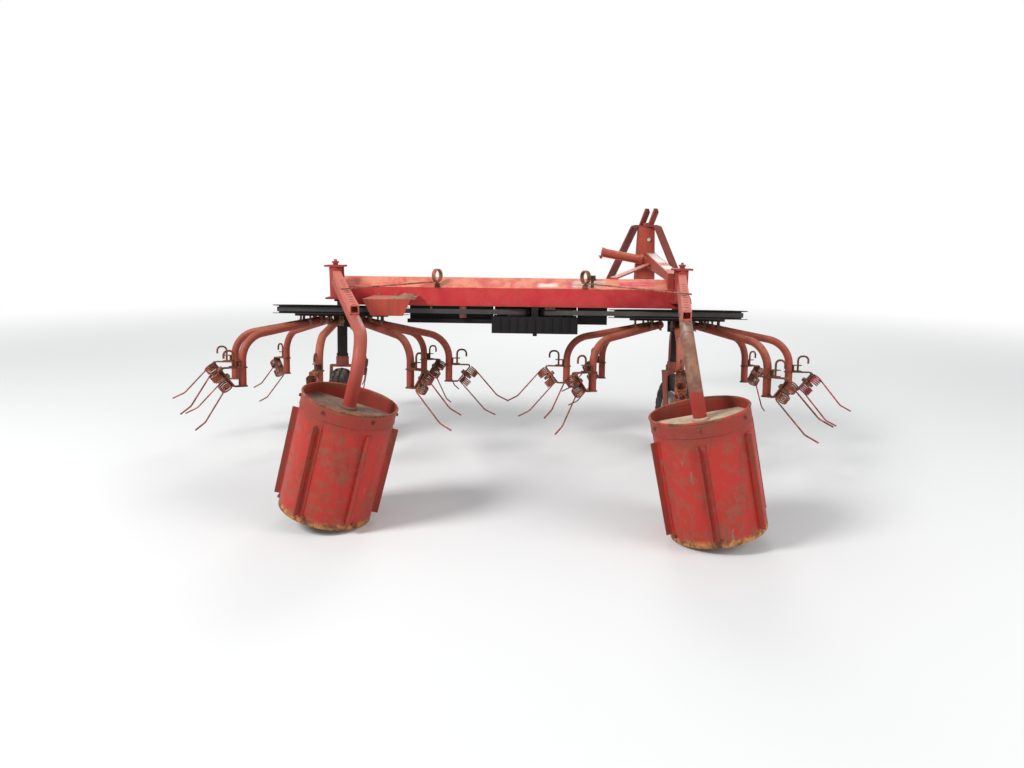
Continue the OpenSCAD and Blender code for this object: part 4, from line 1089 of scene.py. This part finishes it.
def beam_shade_sheets():
    """Black sheets that hang under the beam between the gearbox and each belt rim, as painted shade
    where the beam's shadow falls.
    """
    rim_edge, gap, y, thick = 0.594, 0.002, 0.0285, 0.003
    sheets = []
    for x0, x1 in ((-rim_edge, GEARBOX_X[0] - gap), (GEARBOX_X[1] + gap, rim_edge)):
        sheets += [(x0, x1, y, y + thick, 0.722, BEAM_Z + 0.001),
                   (x0, x1, y + 0.001, y + 0.031, BEAM_Z - 0.0027, BEAM_Z - 0.0027 + thick)]
    black_sheets("beam_shade_sheets", shift(spot(0, 0, 0)), sheets)


for side in SIDES:
    tyre(side)
    wheel_fasteners(side)
    column_ring(side)
    arm_clamp_bolts(side)
    holder_bolts(side)
    double_tines(side)
    drum_rims(side)
    drum_bolts(side)
    drum_welds(side)
    drum_collar(side)
    tube_welds(side)
    grease_nipple(side)
    bracket_bolt(side)
beam_straps()
beam_top_bolts()
guard_trim()
boom_labels()
frame_welds()
cross_tube_trim()
headstock_trim()
post_bolt()
gearbox_trim()
drive_shade_sheet()
beam_shade_sheets()


# Floor, light, camera


def blend_shaders(g, share, first, second, output):
    blend = g.fill(g.add("ShaderNodeMixShader"), Fac=share)
    g.feed(blend.inputs[1], first.outputs[0])
    g.feed(blend.inputs[2], second.outputs[0])
    g.fill(g.add(output), Surface=blend.outputs[0])


def make_floor():
    """A pale floor that fades to the white background where the camera sees its far part."""
    shape = bmesh.new()
    bmesh.ops.create_circle(shape, cap_ends=True, segments=96, radius=60.0)
    floor = add_object("floor", to_mesh("floor", shape))
    floor.location = -HITCH
    material = bpy.data.materials.new("pale floor")
    g = fresh_graph(material)
    matte = g.fill(g.add("ShaderNodeBsdfDiffuse"), Color=(0.74, 0.74, 0.73, 1))
    glow = g.fill(g.add("ShaderNodeEmission"), Color=(1, 1, 1, 1))
    far = g.span(g.measure("LENGTH", g.place()), 3.0, 11.0)
    seen = g.add("ShaderNodeLightPath").outputs["Is Camera Ray"]
    blend_shaders(g, g.times(far, seen), matte, glow, "ShaderNodeOutputMaterial")
    floor.data.materials.append(material)


def make_world():
    """A soft sky for the light, which the camera sees as white."""
    world = bpy.data.worlds.new("studio")
    bpy.context.scene.world = world
    g = fresh_graph(world)
    sky = g.fill(g.add("ShaderNodeBackground"), Color=(0.93, 0.96, 1.0, 1), Strength=0.48)
    white = g.fill(g.add("ShaderNodeBackground"), Color=(1, 1, 1, 1))
    seen = g.add("ShaderNodeLightPath").outputs["Is Camera Ray"]
    blend_shaders(g, seen, sky, white, "ShaderNodeOutputWorld")


def make_lamp(name, place, aim, size, power):
    lamp = bpy.data.lights.new(name, "AREA")
    lamp.shape = "DISK"
    lamp.size = size
    lamp.energy = power
    thing = add_object(name, lamp)
    thing.location = place
    thing.rotation_euler = (aim - place).to_track_quat("-Z", "Y").to_euler()


def make_camera():
    """The camera that took the photograph, as fitted to the rotors, rims and drums."""
    picture_width, focal_length = 1024, 750
    across, behind, height = 0.03, 4.48, 1.24
    yaw, pitch, roll = math.radians(3.0), math.radians(11.16), math.radians(0.5)
    lens = bpy.data.cameras.new("camera")
    lens.sensor_width = 36.0
    lens.lens = lens.sensor_width * focal_length / picture_width
    camera = add_object("camera", lens)
    place = rotated(yaw) @ Vector((across, -behind, height))
    camera.matrix_world = (shift(spot(*place)) @ rotated(yaw) @ rotated(math.pi / 2 - pitch, "X")
                           @ rotated(roll))
    bpy.context.scene.camera = camera


make_floor()
make_world()
middle = spot(0, 0, 0.5)
make_lamp("key", spot(-5.5, -5.0, 6.0), middle, 3.0, 640)
make_lamp("fill", spot(5.5, -4.0, 3.5), middle, 4.0, 190)
make_lamp("back", spot(0.5, 6.5, 5.5), middle, 4.0, 260)
make_camera()
bpy.context.scene.view_settings.view_transform = "Standard"
